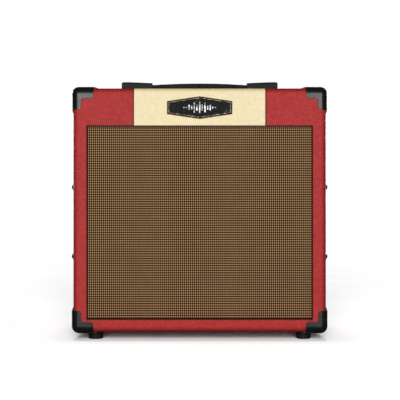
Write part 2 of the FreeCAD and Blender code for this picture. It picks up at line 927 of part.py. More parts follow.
def make_handle():
    """The strap handle: a grip that rises, two lengths that flex and two ends that slide in the end caps."""
    width = span(s.cap_width / 2)
    mouth, end = s.cap_mouth, s.cap_end
    high, bevel = s.cap_height, s.cap_bevel
    side = [
        (mouth, 0),
        (end, 0),
        (end, high - bevel),
        (end - bevel, high),
        (end - bevel - s.cap_flat, high),
        (mouth, high - s.cap_droop),
    ]
    cap = extrude("cap_blank", side, s.cap_width, (0, s.handle_y + s.cap_width / 2, top), "-y")
    round_names = edges_where(cap, lambda a, b: abs(a.y - b.y) < 0.01 and min(a.z, b.z) > top.value + 5)
    pad = cap.Tip
    fillet = cap.newObject("PartDesign::Fillet", "cap_round")
    fillet.Base = (pad, [f"Edge{n}" for n in round_names])
    bind(fillet, "Radius", 2)
    cavity = box(
        "cap_cavity",
        (mouth - 1, end - s.cap_wall),
        around(s.handle_y, s.cap_width / 2 - s.cap_wall),
        (top - 1, cap_top - s.cap_roof),
    )
    finish("handle_end_caps", mirror(cut("cap_hollow", cap, cavity), "x"))

    y = around(s.handle_y, s.strap_width / 2)
    flat = (strap_bottom, strap_bottom + s.strap_thick)
    gap = s.hinge_gap
    grip = (strap_bottom + 0.5, strap_bottom + 0.5 + s.grip_thick)
    finish("strap_grip", box("grip_block", span(s.inner_hinge - gap), y, grip))
    slot_half = s.handle_bolt_radius + 0.6
    slot_y = around(s.handle_y, slot_half)
    slot_near = s.handle_bolt_x - slot_half
    slot_far = s.handle_bolt_x + slot_half + s.handle_travel
    for side_name, sign in (("left", -1), ("right", 1)):

        def run(near, far):
            return tuple(sorted((as_size(near) * sign, as_size(far) * sign), key=lambda size: size.value))

        flex = box(f"{side_name}_flex", run(s.inner_hinge + gap, s.outer_hinge - gap), y, flat)
        finish(f"strap_flex_{side_name}", flex)
        blank = box(f"{side_name}_end", run(s.outer_hinge + gap, s.cap_end - 4.5), y, flat)
        slot = box(f"{side_name}_slot", run(slot_near, slot_far), slot_y, flat)
        finish(f"strap_end_{side_name}", cut(f"{side_name}_slotted", blank, slot))


def hexagon(scale_in):
    """The badge's long six sided outline, moved inwards."""
    half = s.badge_width / 2 - scale_in
    crown = s.badge_height / 2 - scale_in
    end = s.badge_end_height / 2 - as_size(scale_in) * 0.85
    return [(-half, -end), (0, -crown), (half, -end), (half, end), (0, crown), (-half, end)]


def make_badge():
    """A name plate with no name: a black plate with a bright line and a row of level bars let into it."""
    at = (0, front, s.badge_z)
    face = s.badge_thick
    plate = extrude("badge_blank", hexagon(0), face, at, "-y")
    sunk = (0, front - face + 0.8, s.badge_z)
    rim, line_in = 1.9, 2.5
    line = cut(
        "badge_line",
        extrude("badge_line_outside", hexagon(rim), 0.8, sunk, "-y"),
        extrude("badge_line_inside", hexagon(line_in), 0.8, sunk, "-y"),
    )
    groove = cut(
        "badge_groove",
        extrude("badge_groove_outside", hexagon(rim - 0.02), 1, sunk, "-y"),
        extrude("badge_groove_inside", hexagon(line_in + 0.02), 1, sunk, "-y"),
    )
    field = extrude("badge_field", hexagon(3.6), 1, (0, front - face + 0.9, s.badge_z), "-y")
    pins = mirror(rod("badge_pin", 1.5, (30, front, s.badge_z), 9, "+y"), "x")
    pin_holes = mirror(rod("badge_pin_hole", 1.5 + CLEARANCE, (30, front, s.badge_z), 10, "+y"), "x")
    drill(pin_holes, "cream_vinyl_stripe", "header_board")
    finish("badge_plate", cut("badge_cut", fuse("badge_with_pins", plate, pins), groove, field))
    bars = []
    tallest, pitch = 8.2, 3.7
    for i in range(-6, 7):
        tall = tallest * math.cos(i * math.pi / 15) ** 2 * (0.55 + 0.45 * (i % 2 == 0))
        bars.append(
            box(
                f"badge_bar_{i + 6}",
                around(i * pitch, 0.9),
                (front - face + 0.2, front - face + 0.9),
                around(s.badge_z, tall),
            )
        )
    finish("badge_inlay", group("badge_bright_parts", line, *bars))


# ---- chassis and controls ----


def make_chassis():
    """A folded steel tray under a flat lid. The lid is the control panel, seen through the top recess."""
    sheet = s.sheet_thick
    floor_z = lid_bottom - s.chassis_height
    outside = box(
        "tray_outside",
        span(s.chassis_half_width),
        (s.chassis_front, s.chassis_back),
        (floor_z, lid_bottom),
    )
    inside = box(
        "tray_inside",
        span(s.chassis_half_width - sheet),
        (s.chassis_front + sheet, s.chassis_back - sheet),
        (floor_z + sheet, lid_bottom),
    )
    wall = (s.chassis_back - sheet, s.chassis_back)
    cuts = [inside, box("inlet_cutout", around(INLET_X, 13.6), wall, around(REAR_ROW_Z, 10.1))]
    cuts.append(rod("fuse_cutout", 6.1, (FUSE_X, wall[0], REAR_ROW_Z), sheet, "+y"))
    jack_hole = s.jack_bushing + CLEARANCE
    for i, x in enumerate(REAR_JACK_X):
        cuts.append(rod(f"rear_jack_cutout_{i}", jack_hole, (x, wall[0], REAR_ROW_Z), sheet, "+y"))
    for i in range(10):
        x = around(30 + 9 * i, 1.75)
        cuts.append(box(f"vent_slot_{i}", x, (s.chassis_front, s.chassis_front + sheet), (300, 325)))
    cuts.append(rod("lead_hole", 4, (0, LEAD_Y, floor_z), sheet))
    finish("chassis_tray", cut("tray", outside, *cuts))

    lid = fuse(
        "lid_blank",
        box("lid_main", span(s.chassis_half_width), (s.chassis_front, s.chassis_back), (lid_bottom, lid_top)),
        box("lid_ears", span(s.ear_reach), (12, 70), (lid_bottom, lid_top)),
    )
    row = s.knob_row_y
    thick = s.lid_thick
    lid_cuts = []
    pot_hole = s.bushing_radius + CLEARANCE
    for name, x in KNOB_X.items():
        lid_cuts.append(rod(f"{name}_panel_hole", pot_hole, (x, row, lid_bottom), thick))
    for i, x in enumerate(TOP_JACK_X):
        lid_cuts.append(rod(f"top_jack_hole_{i}", jack_hole, (x, row, lid_bottom), thick))
    lid_cuts.append(rod("mini_jack_hole", pot_hole, (MINI_JACK_X, row, lid_bottom), thick))
    lid_cuts.append(rod("button_hole", s.button_radius + 0.3, (BUTTON_X, row, lid_bottom), thick))
    lid_cuts.append(rod("lamp_hole", 5.1, (LAMP_X, row, lid_bottom), thick))
    lid_cuts.append(box("rocker_hole", around(ROCKER_X, 6.4), around(row, 9.6), (lid_bottom, lid_top)))
    finish("control_panel", cut("lid", lid, *lid_cuts))


def jack(name, x, y, z, bore, bushing, depth, axis, body_half):
    """A jack socket, given its mouth: a moulded body behind the panel and a bushing through it."""
    rise = s.bushing_rise - 1
    inward = {"+z": "-z", "+y": "-y"}[axis]
    throat = rise + (s.lid_thick if axis == "+z" else s.sheet_thick)
    barrel = rod(name + "_barrel", bushing, (x, y, z), throat, inward)
    if axis == "+z":
        block = box(name + "_block", around(x, body_half), around(y, body_half), (z - depth - 2, z - throat))
    else:
        block = box(name + "_block", around(x, body_half), (y - depth - 2, y - throat), around(z, body_half))
    solid = fuse(name + "_solid", barrel, block)
    return cut(name, solid, rod(name + "_bore", bore, (x, y, z), depth, inward))


def make_jacks():
    """Sockets on the control panel and on the chassis back, and the nuts of all the panel controls."""
    row = s.knob_row_y
    rise = s.bushing_rise - 1
    mouth_z = lid_top + rise
    mouth_y = s.chassis_back + rise
    big = (s.jack_bore, s.jack_bushing, s.jack_depth)
    jacks, nuts = [], []
    for i, x in enumerate(TOP_JACK_X):
        jacks.append(jack(f"top_jack_{i}", x, row, mouth_z, *big, "+z", 7))
        nuts.append(hex_nut(f"top_jack_nut_{i}", 7.5, s.jack_bushing + CLEARANCE, (x, row, lid_top), 2))
    jacks.append(jack("mini_jack", MINI_JACK_X, row, mouth_z, s.mini_bore, s.bushing_radius, 14, "+z", 5))
    nuts.append(hex_nut("mini_jack_nut", 5.7, s.bushing_radius + CLEARANCE, (MINI_JACK_X, row, lid_top), 2))
    for i, x in enumerate(REAR_JACK_X):
        jacks.append(jack(f"rear_jack_{i}", x, mouth_y, REAR_ROW_Z, *big, "+y", 7))
        at = (x, s.chassis_back, REAR_ROW_Z)
        nuts.append(hex_nut(f"rear_jack_nut_{i}", 7.5, s.jack_bushing + CLEARANCE, at, 2, "+y"))
    for name, x in KNOB_X.items():
        nuts.append(hex_nut(f"{name}_nut", 5.7, s.bushing_radius + CLEARANCE, (x, row, lid_top), 2))
    finish("signal_jacks", group("all_jacks", *jacks))
    finish("panel_nuts", group("all_panel_nuts", *nuts))


def make_pots():
    """A potentiometer under the panel for each knob, with a blind bore that its shaft turns in."""
    row = s.knob_row_y
    pots = []
    for name, x in KNOB_X.items():
        half = s.pot_size / 2
        case = box(f"{name}_case", around(x, half), around(row, half), (board_top, lid_bottom))
        bushing = rod(f"{name}_bushing", s.bushing_radius, (x, row, lid_bottom), s.lid_thick + s.bushing_rise)
        bore_at = (x, row, board_top + 1.5)
        depth = s.pot_height + s.lid_thick + s.bushing_rise
        bore = rod(f"{name}_bore", s.shaft_radius + CLEARANCE, bore_at, depth)
        pots.append(cut(f"{name}_pot", fuse(f"{name}_pot_solid", case, bushing), bore))
    finish("potentiometers", group("all_pots", *pots))


def make_knob(name, x):
    """A skirted, fluted knob with a pointer groove, on its steel shaft."""
    foot_z = lid_top + 0.8
    cavity = s.bushing_rise - 0.2
    wide, tall = s.knob_radius, s.knob_height
    slim = wide - 1.6
    profile = [
        (s.shaft_radius + 0.03, cavity),
        (s.shaft_radius + 0.03, tall - 1.5),
        (0, tall - 1.5),
        (0, tall),
        (slim - 1.2, tall),
        Arc(-1),
        (slim - 0.3, tall - 0.9),
        (slim, 3.6),
        (wide - 0.4, 3),
        (wide, 2.4),
        (wide, 0),
        (6.5, 0),
        (6.5, cavity),
    ]
    knob = revolve(f"{name}_cap", profile, (x, s.knob_row_y, foot_z))
    flute = knob.newObject("PartDesign::Pocket", f"{name}_flute")
    sketch = new_sketch(knob, "XY_Plane", tall + 1)
    circle = Part.Circle(FreeCAD.Vector(0, slim.value + 1.4, 0), FreeCAD.Vector(0, 0, 1), 1.9)
    geo = sketch.addGeometry(circle, False)
    sketch.addConstraint(Sketcher.Constraint("Radius", geo, 1.9))
    pin_point(sketch, geo, 3, "DistanceX", as_size(0))
    pin_point(sketch, geo, 3, "DistanceY", slim + 1.4)
    flute.Profile = sketch
    bind(flute, "Length", tall + 1 - 3.8)
    repeat_round(knob, flute, 18)
    groove = pocket(knob, rectangle(span(0.5), (2, slim + 1)), 1.6, tall + 1)
    knob.Tip = groove
    shaft_z = board_top + 2
    shaft = rod(f"{name}_shaft", s.shaft_radius, (x, s.knob_row_y, shaft_z), foot_z + tall - 1.6 - shaft_z)
    finish(f"{name}_knob", group(f"{name}_knob_and_shaft", knob, shaft))


def make_switches():
    """The power rocker in its housing, the channel button, and the pilot lamp."""
    row = s.knob_row_y
    pivot_z = lid_top - 1
    long, wide = s.rocker_half_length, s.rocker_half_width
    housing = fuse(
        "rocker_body",
        box("rocker_block", around(ROCKER_X, 6.3), around(row, 9.5), (lid_top - 18, lid_top)),
        box("rocker_bezel", around(ROCKER_X, 7.8), around(row, 11.2), (lid_top, lid_top + 1.6)),
    )
    well_z = (pivot_z - 6, lid_top + 2)
    well = box("rocker_well", around(ROCKER_X, wide + 0.2), around(row, long + 0.6), well_z)
    pivot_bore = rod("rocker_pivot_bore", 1.2 + CLEARANCE, (ROCKER_X - 6, row, pivot_z), 12, "+x")
    finish("rocker_housing", cut("rocker_housing_cut", housing, well, pivot_bore))
    side = [(-long, 2.4), (0, 1.2), (long, 2.4), (long, -1), (5, -4), (-5, -4), (-long, -1)]
    side.reverse()
    paddle = extrude("rocker_paddle", side, wide * 2, (-wide, 0, 0), "+x")
    pin = rod("rocker_pin", 1.2, (-5.9, 0, 0), 11.8, "+x")
    rocker = fuse("rocker_upright", paddle, pin)
    tilted = doc.addObject("Part::Compound", "rocker_tilted")
    tilted.Links = [rocker]
    tilt = FreeCAD.Rotation(FreeCAD.Vector(1, 0, 0), -ROCKER_TILT)
    tilted.Placement = FreeCAD.Placement(FreeCAD.Vector(), tilt)
    for letter, size in zip("xyz", (ROCKER_X, row, pivot_z)):
        bind(tilted, f"Placement.Base.{letter}", size)
    finish("power_rocker", tilted)

    stroke = 2.5
    foot_z = board_top + 5.8
    cap_z = foot_z + stroke + 0.5
    radius = s.button_radius
    profile = [(0, 0), (radius, 0), (radius, 6.5), Arc(1), (radius - 1, 7.5), (0, 7.5)]
    cap = revolve("button_cap", profile, (BUTTON_X, row, cap_z))
    stem = rod("button_stem", 1.5, (BUTTON_X, row, cap_z - 5.2), 5.2)
    finish("channel_button", fuse("button_solid", cap, stem))

    lamp_at = (LAMP_X, row, lid_top)
    bezel = revolve("lamp_bezel", [(4.6, 0), (6.6, 0), (6.6, 0.8), (5.6, 2.2), (4.6, 2.2)], lamp_at)
    lens_profile = [(0, 0), (4.4, 0), (4.4, 17), Arc(5), (1, 19.4), (0, 19.4)]
    lens = revolve("lamp_lens", lens_profile, (LAMP_X, row, lid_top - 14))
    finish("power_lamp", group("lamp_parts", bezel, lens))


def make_rear_sockets():
    """The mains inlet with its three pins, and the fuse holder."""
    face = s.chassis_back
    flange = fuse(
        "inlet_solid",
        box("inlet_flange", around(INLET_X, 24), (face, face + 2.5), around(REAR_ROW_Z, 11.5)),
        box("inlet_block", around(INLET_X, 13.5), (face - 20, face + 2.5), around(REAR_ROW_Z, 10)),
    )
    well = [(-12, 8.2), (-12, -4.4), (-8.2, -8.2), (8.2, -8.2), (12, -4.4), (12, 8.2)]
    cavity = extrude("inlet_cavity", well, 17, (INLET_X, face + 2.5, REAR_ROW_Z), "+y")
    cavity.Placement.Base.y = 0
    bind(cavity, "Placement.Base.y", face + 2.5 - 17)
    ears = [
        rod(f"inlet_ear_{i}", 1.7, (INLET_X + reach, face, REAR_ROW_Z), 2.5, "+y")
        for i, reach in enumerate((-20, 20))
    ]
    shell = cut("inlet_shell", flange, cavity, *ears)
    pins = []
    pin_y = (face + 2.5 - 17, face - 3.5)
    for i, (across, up) in enumerate(((-7, -2), (0, 2), (7, -2))):
        x = around(INLET_X + across, 1)
        pins.append(box(f"inlet_pin_{i}", x, pin_y, around(REAR_ROW_Z + up, 2)))
    finish("mains_inlet", group("inlet_and_pins", shell, *pins))

    at = (FUSE_X, face - 24, REAR_ROW_Z)
    barrel = [(0, 0), (6, 0), (6, 24), (8, 24), (8, 27), (7, 27), (6.4, 33), (5.4, 34), (0, 34)]
    holder = revolve("fuse_body", barrel, at, "+y")
    slot = box("fuse_slot", around(FUSE_X, 4.5), (face + 9, face + 10), around(REAR_ROW_Z, 0.7))
    finish("fuse_holder", cut("fuse_slotted", holder, slot))


def make_electronics():
    """The circuit board under the pots, what hangs from it, and the mains transformer."""
    row = s.knob_row_y
    board = (board_top - 1.6, board_top)
    finish("circuit_board", box("board_sheet", (-42, 114), (15, 83), board))
    low = board[0]
    loads = []
    for x, radius, tall in ((-24, 9, 26), (4, 6.5, 20)):
        can = [(0, 0), (radius - 0.8, 0), Arc(-1), (radius, 0.8), (radius, tall), (0, tall)]
        for y in (28, 60):
            loads.append(revolve(f"capacitor_{tall}_{y}", can, (x, y, low - tall)))
    fins = [box("sink_base", (28, 92), (40, 44), (low - 30, low))]
    fins += [box(f"sink_fin_{i}", around(30 + 10 * i, 1), (44, 60), (low - 30, low)) for i in range(7)]
    loads.append(fuse("heat_sink", *fins))
    for i, x in enumerate((40, 60, 80)):
        loads.append(box(f"power_device_{i}", around(x, 5), (35.5, 40), (low - 24, low - 8)))
    switch = box("channel_switch_case", around(BUTTON_X, 5), around(row, 5), (board_top, board_top + 5.8))
    stem_bore = rod("channel_switch_bore", 1.6, (BUTTON_X, row, board_top + 0.4), 6)
    loads.append(cut("channel_switch", switch, stem_bore))
    finish("board_components", group("all_board_components", *loads))

    centre_x, centre_y = -106.5, 37
    floor_z = lid_bottom - s.chassis_height + s.sheet_thick
    stack = (floor_z + 7, floor_z + 25)
    core = box("core_block", around(centre_x, 28.5), around(centre_y, 24), stack)
    windows = [
        box(f"core_window_{i}", around(centre_x + reach, 4.75), around(centre_y, 14.25), stack)
        for i, reach in enumerate((-14.25, 14.25))
    ]
    bolts, bolt_holes = [], []
    for i, (dx, dy) in enumerate(((-24, -19.5), (24, -19.5), (-24, 19.5), (24, 19.5))):
        x, y = centre_x + dx, centre_y + dy
        shank = rod(f"core_bolt_{i}", 2, (x, y, floor_z), 25)
        head = rod(f"core_bolt_head_{i}", 3.5, (x, y, stack[1]), 2.5)
        bolts.append(fuse(f"core_fixing_{i}", shank, head))
        bolts.append(tube(f"core_spacer_{i}", 4.2, 2.05, (x, y, floor_z), 7))
        bolt_holes.append(rod(f"core_bolt_hole_{i}", 2.05, (x, y, stack[0]), 18))
    laminations = cut("laminations", core, *windows, *bolt_holes)
    finish("transformer_core", group("core_and_bolts", laminations, *bolts))
    coil = box("coil_block", around(centre_x, 18.6), around(centre_y, 13.8), (floor_z + 1, floor_z + 31))
    leg = box("coil_leg", around(centre_x, 9.6), around(centre_y, 15), (stack[0] - 0.1, stack[1] + 0.1))
    finish("transformer_coil", cut("coil", coil, leg))


# ---- speaker ----


def make_speaker_screws():
    """Four pan head screws round the rim of the speaker."""
    reach = s.screw_circle * math.sqrt(0.5)
    head_y = baffle_back + s.gasket_thick + 4.5
    screws = []
    for i, sign in enumerate((-1, 1)):
        at = (reach, head_y, s.speaker_z + reach * sign)
        profile = [(0, 0), (3, 0), Arc(-3), (4.5, 1.5), (4.5, 3), (2, 3), (2, 16), (0, 17.5)]
        screw = revolve(f"speaker_screw_{i}", profile, at, "-y")
        pocket(screw, cross_slot(2.2, 0.45), 1.4, reverse=True)
        screws.append(mirror(screw, "x"))
        hole = rod(f"speaker_screw_hole_{i}", 2 + CLEARANCE, at, 18, "-y")
        drill(mirror(hole, "x"), "speaker_gasket", "speaker_basket", "baffle_board")
    finish("speaker_screws", group("all_speaker_screws", *screws))


def speaker_part(name, profile):
    """A part turned about the speaker's axis, with heights measured back from the baffle."""
    return revolve(name, profile, (0, baffle_back, s.speaker_z), "+y")


def make_speaker():
    """Basket, motor and moving parts of the speaker, screwed to the back of the baffle."""
    bore, rim, seat = s.gasket_bore, s.frame_radius, s.gasket_thick
    finish("speaker_gasket", speaker_part("gasket_ring", [(bore, 0), (rim, 0), (rim, seat), (bore, seat)]))
    make_basket()
    make_motor()
    make_surround_and_spider()
    make_cone()


def make_basket():
    """The pressed frame: a flange, a skirt with windows, the spider's ledge and the floor for the magnet."""
    rim, seat, sheet = s.frame_radius, s.gasket_thick, s.basket_sheet
    shoulder = seat + s.basket_shoulder
    ledge = s.spider_seat + s.spider_ledge
    floor = s.basket_back - sheet
    skirt = s.gasket_bore - sheet
    neck = s.basket_neck
    shell = [
        (s.basket_lip, seat),
        (rim, seat),
        (rim, seat + sheet),
        (s.gasket_bore, seat + sheet),
        (skirt, shoulder),
        (neck, ledge + 1.1),
        (neck, s.basket_back),
        (s.basket_hole, s.basket_back),
        (s.basket_hole, floor),
        (neck - sheet * 2, floor),
        (s.spider_rim, ledge),
        (s.spider_bore, ledge),
        (s.spider_bore, s.spider_seat),
        (neck - 0.5, s.spider_seat),
        (skirt - sheet, shoulder - 1),
        (skirt, seat + sheet),
        (s.basket_lip, seat + sheet),
    ]
    basket = speaker_part("basket_shell", shell)
    near, near_half = WINDOW_NEAR
    far, far_half = WINDOW_FAR
    outline = [(near, -near_half), (far, -far_half), Arc(-92), (far, far_half), (near, near_half), Arc(60)]
    window = pocket(basket, outline, 40, 12, reverse=True)
    basket.Tip = repeat_round(basket, window, SPOKE_COUNT)
    finish("speaker_basket", basket)


def make_motor():
    """The magnet between its front plate and the yoke that carries the pole."""
    plate_front = s.basket_back
    plate_back = plate_front + s.pole_plate
    magnet_back = plate_back + s.magnet_thick
    yoke_back = magnet_back + s.pole_plate + 1
    plate = s.plate_radius
    ring = rectangle((s.magnet_bore, s.magnet_radius), (plate_back, magnet_back))
    finish("speaker_magnet", speaker_part("magnet_ring", ring))
    gap = s.coil_radius + 0.75
    front_plate = speaker_part("front_plate", rectangle((gap, plate), (plate_front, plate_back)))
    vent = 4
    yoke = speaker_part(
        "yoke",
        [
            (vent, plate_front + 0.5),
            (s.pole_radius, plate_front + 0.5),
            (s.pole_radius, magnet_back),
            (plate, magnet_back),
            (plate, yoke_back - 1),
            (plate - 1, yoke_back),
            (vent, yoke_back),
        ],
    )
    finish("speaker_pole_pieces", group("both_pole_pieces", front_plate, yoke))


def make_surround_and_spider():
    """The half roll at the cone's edge and the folded disc behind it, which centre the cone."""
    front, skin = s.surround_front, s.surround_skin
    back = front + skin
    outer, mid = s.surround_outer, s.cone_radius + 3.1
    foot = mid + skin
    glue = s.cone_front - skin * 1.5
    roll = [
        (outer, front),
        (outer, back),
        (foot + ROLL_INSIDE * 2 - 0.02, back),
        Arc(ROLL_INSIDE),
        (foot, back),
        (foot, glue + skin),
        (s.cone_radius, glue + skin),
        (s.cone_radius, glue),
        (mid, glue),
        (mid, front),
        Arc(-ROLL_OUTSIDE),
        (mid + ROLL_OUTSIDE * 2 - 0.02, front),
    ]
    finish("speaker_surround", speaker_part("surround_roll", roll))
    seat, cloth = s.spider_seat, 0.6
    spider_front, spider_back = [], []
    for i in range(SPIDER_FOLDS):
        radius = s.coil_radius + s.coil_wall + SPIDER_PITCH * i
        wave = seat - 2 + SPIDER_WAVE * (i % 2)
        spider_front.append((radius, wave))
        spider_back.append((radius, wave + cloth))
    ledge = [(s.spider_rim, seat - cloth), (s.spider_rim, seat)]
    finish("speaker_spider", speaker_part("spider_disc", spider_front + ledge + spider_back[::-1]))


def make_cone():
    """The paper cone with its dust cap, and the coil former that drives it."""
    neck = s.coil_radius + CLEARANCE
    edge = s.cone_radius + 3.1 + s.surround_skin
    front, back, paper = s.cone_front, s.cone_back, s.cone_paper
    cone = [
        (s.cone_radius, front),
        (edge, front),
        (edge, front + paper),
        (s.cone_radius, front + paper),
        Arc(-180),
        (neck, back),
        (neck, back - 1.2),
        Arc(180),
    ]
    finish("speaker_cone", speaker_part("paper_cone", cone))
    crown, rim, radius = s.dust_cap_front, s.dust_cap_back, s.dust_cap_radius
    dome = [(0, crown), (1, crown), Arc(-30), (radius, rim), (radius - 1, rim), Arc(30)]
    dome += [(1, crown + 0.8), (0, crown + 0.8)]
    finish("dust_cap", speaker_part("cap_dome", dome))
    wound, bare, inside = s.coil_radius + 0.45, s.coil_radius, s.coil_radius - s.coil_wall
    former = [
        (inside, s.coil_front),
        (bare, s.coil_front),
        (bare, s.winding_front),
        (wound, s.winding_front),
        (wound, s.coil_back),
        (inside, s.coil_back),
    ]
    finish("voice_coil", speaker_part("coil_former", former))


def make_speaker_lead():
    """The terminal strip on the basket, and the two wires that come down to it from the chassis."""
    board = box("terminal_board", span(9), (-33, -31), (219, 240))
    tags = [box(f"terminal_tag_{i}", around(x, 1.5), (-33.8, -33), (232, 244)) for i, x in enumerate((-5, 5))]
    housing = rod("spider_housing", s.basket_neck, (0, -40, s.speaker_z), 30, "+y")
    finish("speaker_terminals", group("terminals", cut("terminal_board_fitted", board, housing), *tags))
    floor_z = lid_bottom - s.chassis_height
    ring = [(3.2, -2), (5.5, -2), (5.5, 0), (3.95, 0), (3.95, 1.2), (5.5, 1.2), (5.5, 3), (3.2, 3)]
    grommet = revolve("lead_grommet", ring, (0, LEAD_Y, floor_z))
    start_z = floor_z.value + 3
    route = [
        (2, LEAD_Y, start_z),
        (2, LEAD_Y, start_z - 17),
        (2, 17, 256),
        (2, -8, 251),
        (4, -25, 252),
        (5, -33.4, 244.9),
    ]
    wires = []
    for side, sign in (("left", -1), ("right", 1)):
        wire = doc.addObject("Part::Feature", f"lead_wire_{side}")
        wire.Shape = wire_along([(spread * sign, y, z) for spread, y, z in route])
        wires.append(wire)
    finish("speaker_lead", group("lead_and_grommet", grommet, *wires))


def wire_along(points):
    """A round wire along straight runs joined by tangent arcs, each as large as its two runs allow."""
    points = [FreeCAD.Vector(*p) for p in points]
    edges = []
    start = points[0]
    for before, corner, after in zip(points, points[1:], points[2:]):
        into = (corner - before).normalize()
        out = (after - corner).normalize()
        half = into.getAngle(out) / 2
        cutback = 0.45 * min((corner - before).Length, (after - corner).Length)
        bend = cutback / math.tan(half)
        print(f"speaker lead bend radius {bend:.1f}")
        enter, leave = corner - into * cutback, corner + out * cutback
        inward = (out - into).normalize()
        middle = corner + inward * (math.hypot(bend, cutback) - bend)
        edges += [Part.LineSegment(start, enter).toShape(), Part.Arc(enter, middle, leave).toShape()]
        start = leave
    edges.append(Part.LineSegment(start, points[-1]).toShape())
    path = Part.Wire(edges)
    ring = Part.Wire(Part.Circle(points[0], points[1] - points[0], LEAD_RADIUS).toShape())
    solid = path.makePipeShell([ring], True, False)
    expected = math.pi * LEAD_RADIUS**2 * path.Length
    if abs(solid.Volume - expected) > 0.01 * expected:
        raise SystemExit(f"the speaker lead's volume is {solid.Volume:.1f}, not {expected:.1f}")
    return solid


def check_and_export():
    doc.recompute()
    failed = [o.Name for o in doc.Objects if {"Invalid", "Error"} & set(o.State)]
    if failed:
        raise SystemExit(f"these objects failed: {failed}")
    for name, obj in parts.items():
        if obj.Shape.isNull() or not obj.Shape.isValid() or not obj.Shape.Solids:
            raise SystemExit(f"{name} has no valid solid")
        if obj.Label != name:
            raise SystemExit(f"{name} got the label {obj.Label}")
    os.makedirs("parts", exist_ok=True)
    for name, obj in parts.items():
        obj.Shape.exportStep(f"parts/{name}.step")
    print(f"{len(parts)} parts")


make_fasteners()
make_handle_fixings()
make_handle()
make_badge()
make_speaker_screws()
make_speaker()
make_speaker_lead()
make_boards()
make_covering()
make_battens()
make_grille()
make_back_panels()
make_corners()
make_feet()
make_chassis()
make_jacks()
make_pots()
for knob_name, knob_x in KNOB_X.items():
    make_knob(knob_name, knob_x)
make_switches()
make_rear_sockets()
make_electronics()
check_and_export()
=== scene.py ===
import math

import bpy
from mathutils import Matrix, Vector


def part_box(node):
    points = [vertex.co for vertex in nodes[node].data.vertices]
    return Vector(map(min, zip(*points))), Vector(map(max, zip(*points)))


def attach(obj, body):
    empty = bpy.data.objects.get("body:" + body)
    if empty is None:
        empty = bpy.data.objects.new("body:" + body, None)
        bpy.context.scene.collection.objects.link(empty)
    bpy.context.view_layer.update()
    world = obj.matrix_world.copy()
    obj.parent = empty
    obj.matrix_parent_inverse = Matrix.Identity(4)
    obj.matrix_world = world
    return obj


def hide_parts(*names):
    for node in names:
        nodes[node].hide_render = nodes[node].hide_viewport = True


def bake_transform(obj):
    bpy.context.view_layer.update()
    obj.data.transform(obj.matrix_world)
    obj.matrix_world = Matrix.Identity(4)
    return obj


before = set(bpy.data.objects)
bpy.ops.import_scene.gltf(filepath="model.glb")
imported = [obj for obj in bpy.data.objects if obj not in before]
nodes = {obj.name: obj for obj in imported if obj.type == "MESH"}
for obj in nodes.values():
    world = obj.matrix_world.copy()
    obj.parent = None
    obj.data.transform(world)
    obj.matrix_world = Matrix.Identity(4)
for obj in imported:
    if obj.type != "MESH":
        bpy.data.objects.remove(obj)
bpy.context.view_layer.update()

MM = 0.001
scene = bpy.context.scene


# ---- camera, lights and floor ----

CAMERA_HEIGHT = 0.1972
CAMERA_X = 0.0005
CAMERA_DISTANCE = 1.8
FIELD_AT_FRONT = 0.56
SENSOR = 36.0


def make_camera():
    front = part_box("red_vinyl_covering")[0].y
    data = bpy.data.cameras.new("camera")
    data.sensor_width = SENSOR
    data.lens = SENSOR * CAMERA_DISTANCE / FIELD_AT_FRONT
    camera = bpy.data.objects.new("camera", data)
    camera.location = (CAMERA_X, front - CAMERA_DISTANCE, CAMERA_HEIGHT)
    camera.rotation_euler = (math.radians(90), 0, 0)
    scene.collection.objects.link(camera)
    scene.camera = camera


def area_light(name, place, size, watts, aim=(0, 0, 0.18), colour=(1, 1, 1)):
    data = bpy.data.lights.new(name, "AREA")
    data.shape = "RECTANGLE"
    data.size, data.size_y = size
    data.energy = watts
    data.color = colour
    light = bpy.data.objects.new(name, data)
    light.location = place
    light.rotation_euler = (Vector(aim) - Vector(place)).to_track_quat("-Z", "Y").to_euler()
    scene.collection.objects.link(light)
    return light


def make_world():
    """A white backdrop for the camera, and a dimmer room for everything that it lights."""
    world = bpy.data.worlds.new("studio")
    world.use_nodes = True
    tree = world.node_tree
    background = tree.nodes["Background"]
    background.inputs["Color"].default_value = (1, 1, 1, 1)
    path = tree.nodes.new("ShaderNodeLightPath")
    span = tree.nodes.new("ShaderNodeMapRange")
    span.inputs["To Min"].default_value = 0.07
    span.inputs["To Max"].default_value = 1.0
    tree.links.new(path.outputs["Is Camera Ray"], span.inputs["Value"])
    tree.links.new(span.outputs["Result"], background.inputs["Strength"])
    scene.world = world
    scene.view_settings.view_transform = "Standard"


def make_lights():
    """Two soft keys beside the camera and three fills behind, all for the object alone."""
    return [
        area_light("key_left", (-0.62, -2.3, 0.5), (0.4, 0.9), 33),
        area_light("key_right", (0.62, -2.3, 0.5), (0.4, 0.9), 30),
        area_light("back_fill", (0, 2.6, 0.75), (1.2, 0.9), 14),
        area_light("fill_left", (-1.9, 2.6, 0.7), (0.9, 0.9), 42),
        area_light("fill_right", (1.9, 2.6, 0.7), (0.9, 0.9), 42),
    ]


FLOOR_TONE = 0.92
FLOOR_LIGHTS = [("floor_above", 0, 20, 0.43), ("floor_front", 76, 24, 0.56)]  # lean, spread and white


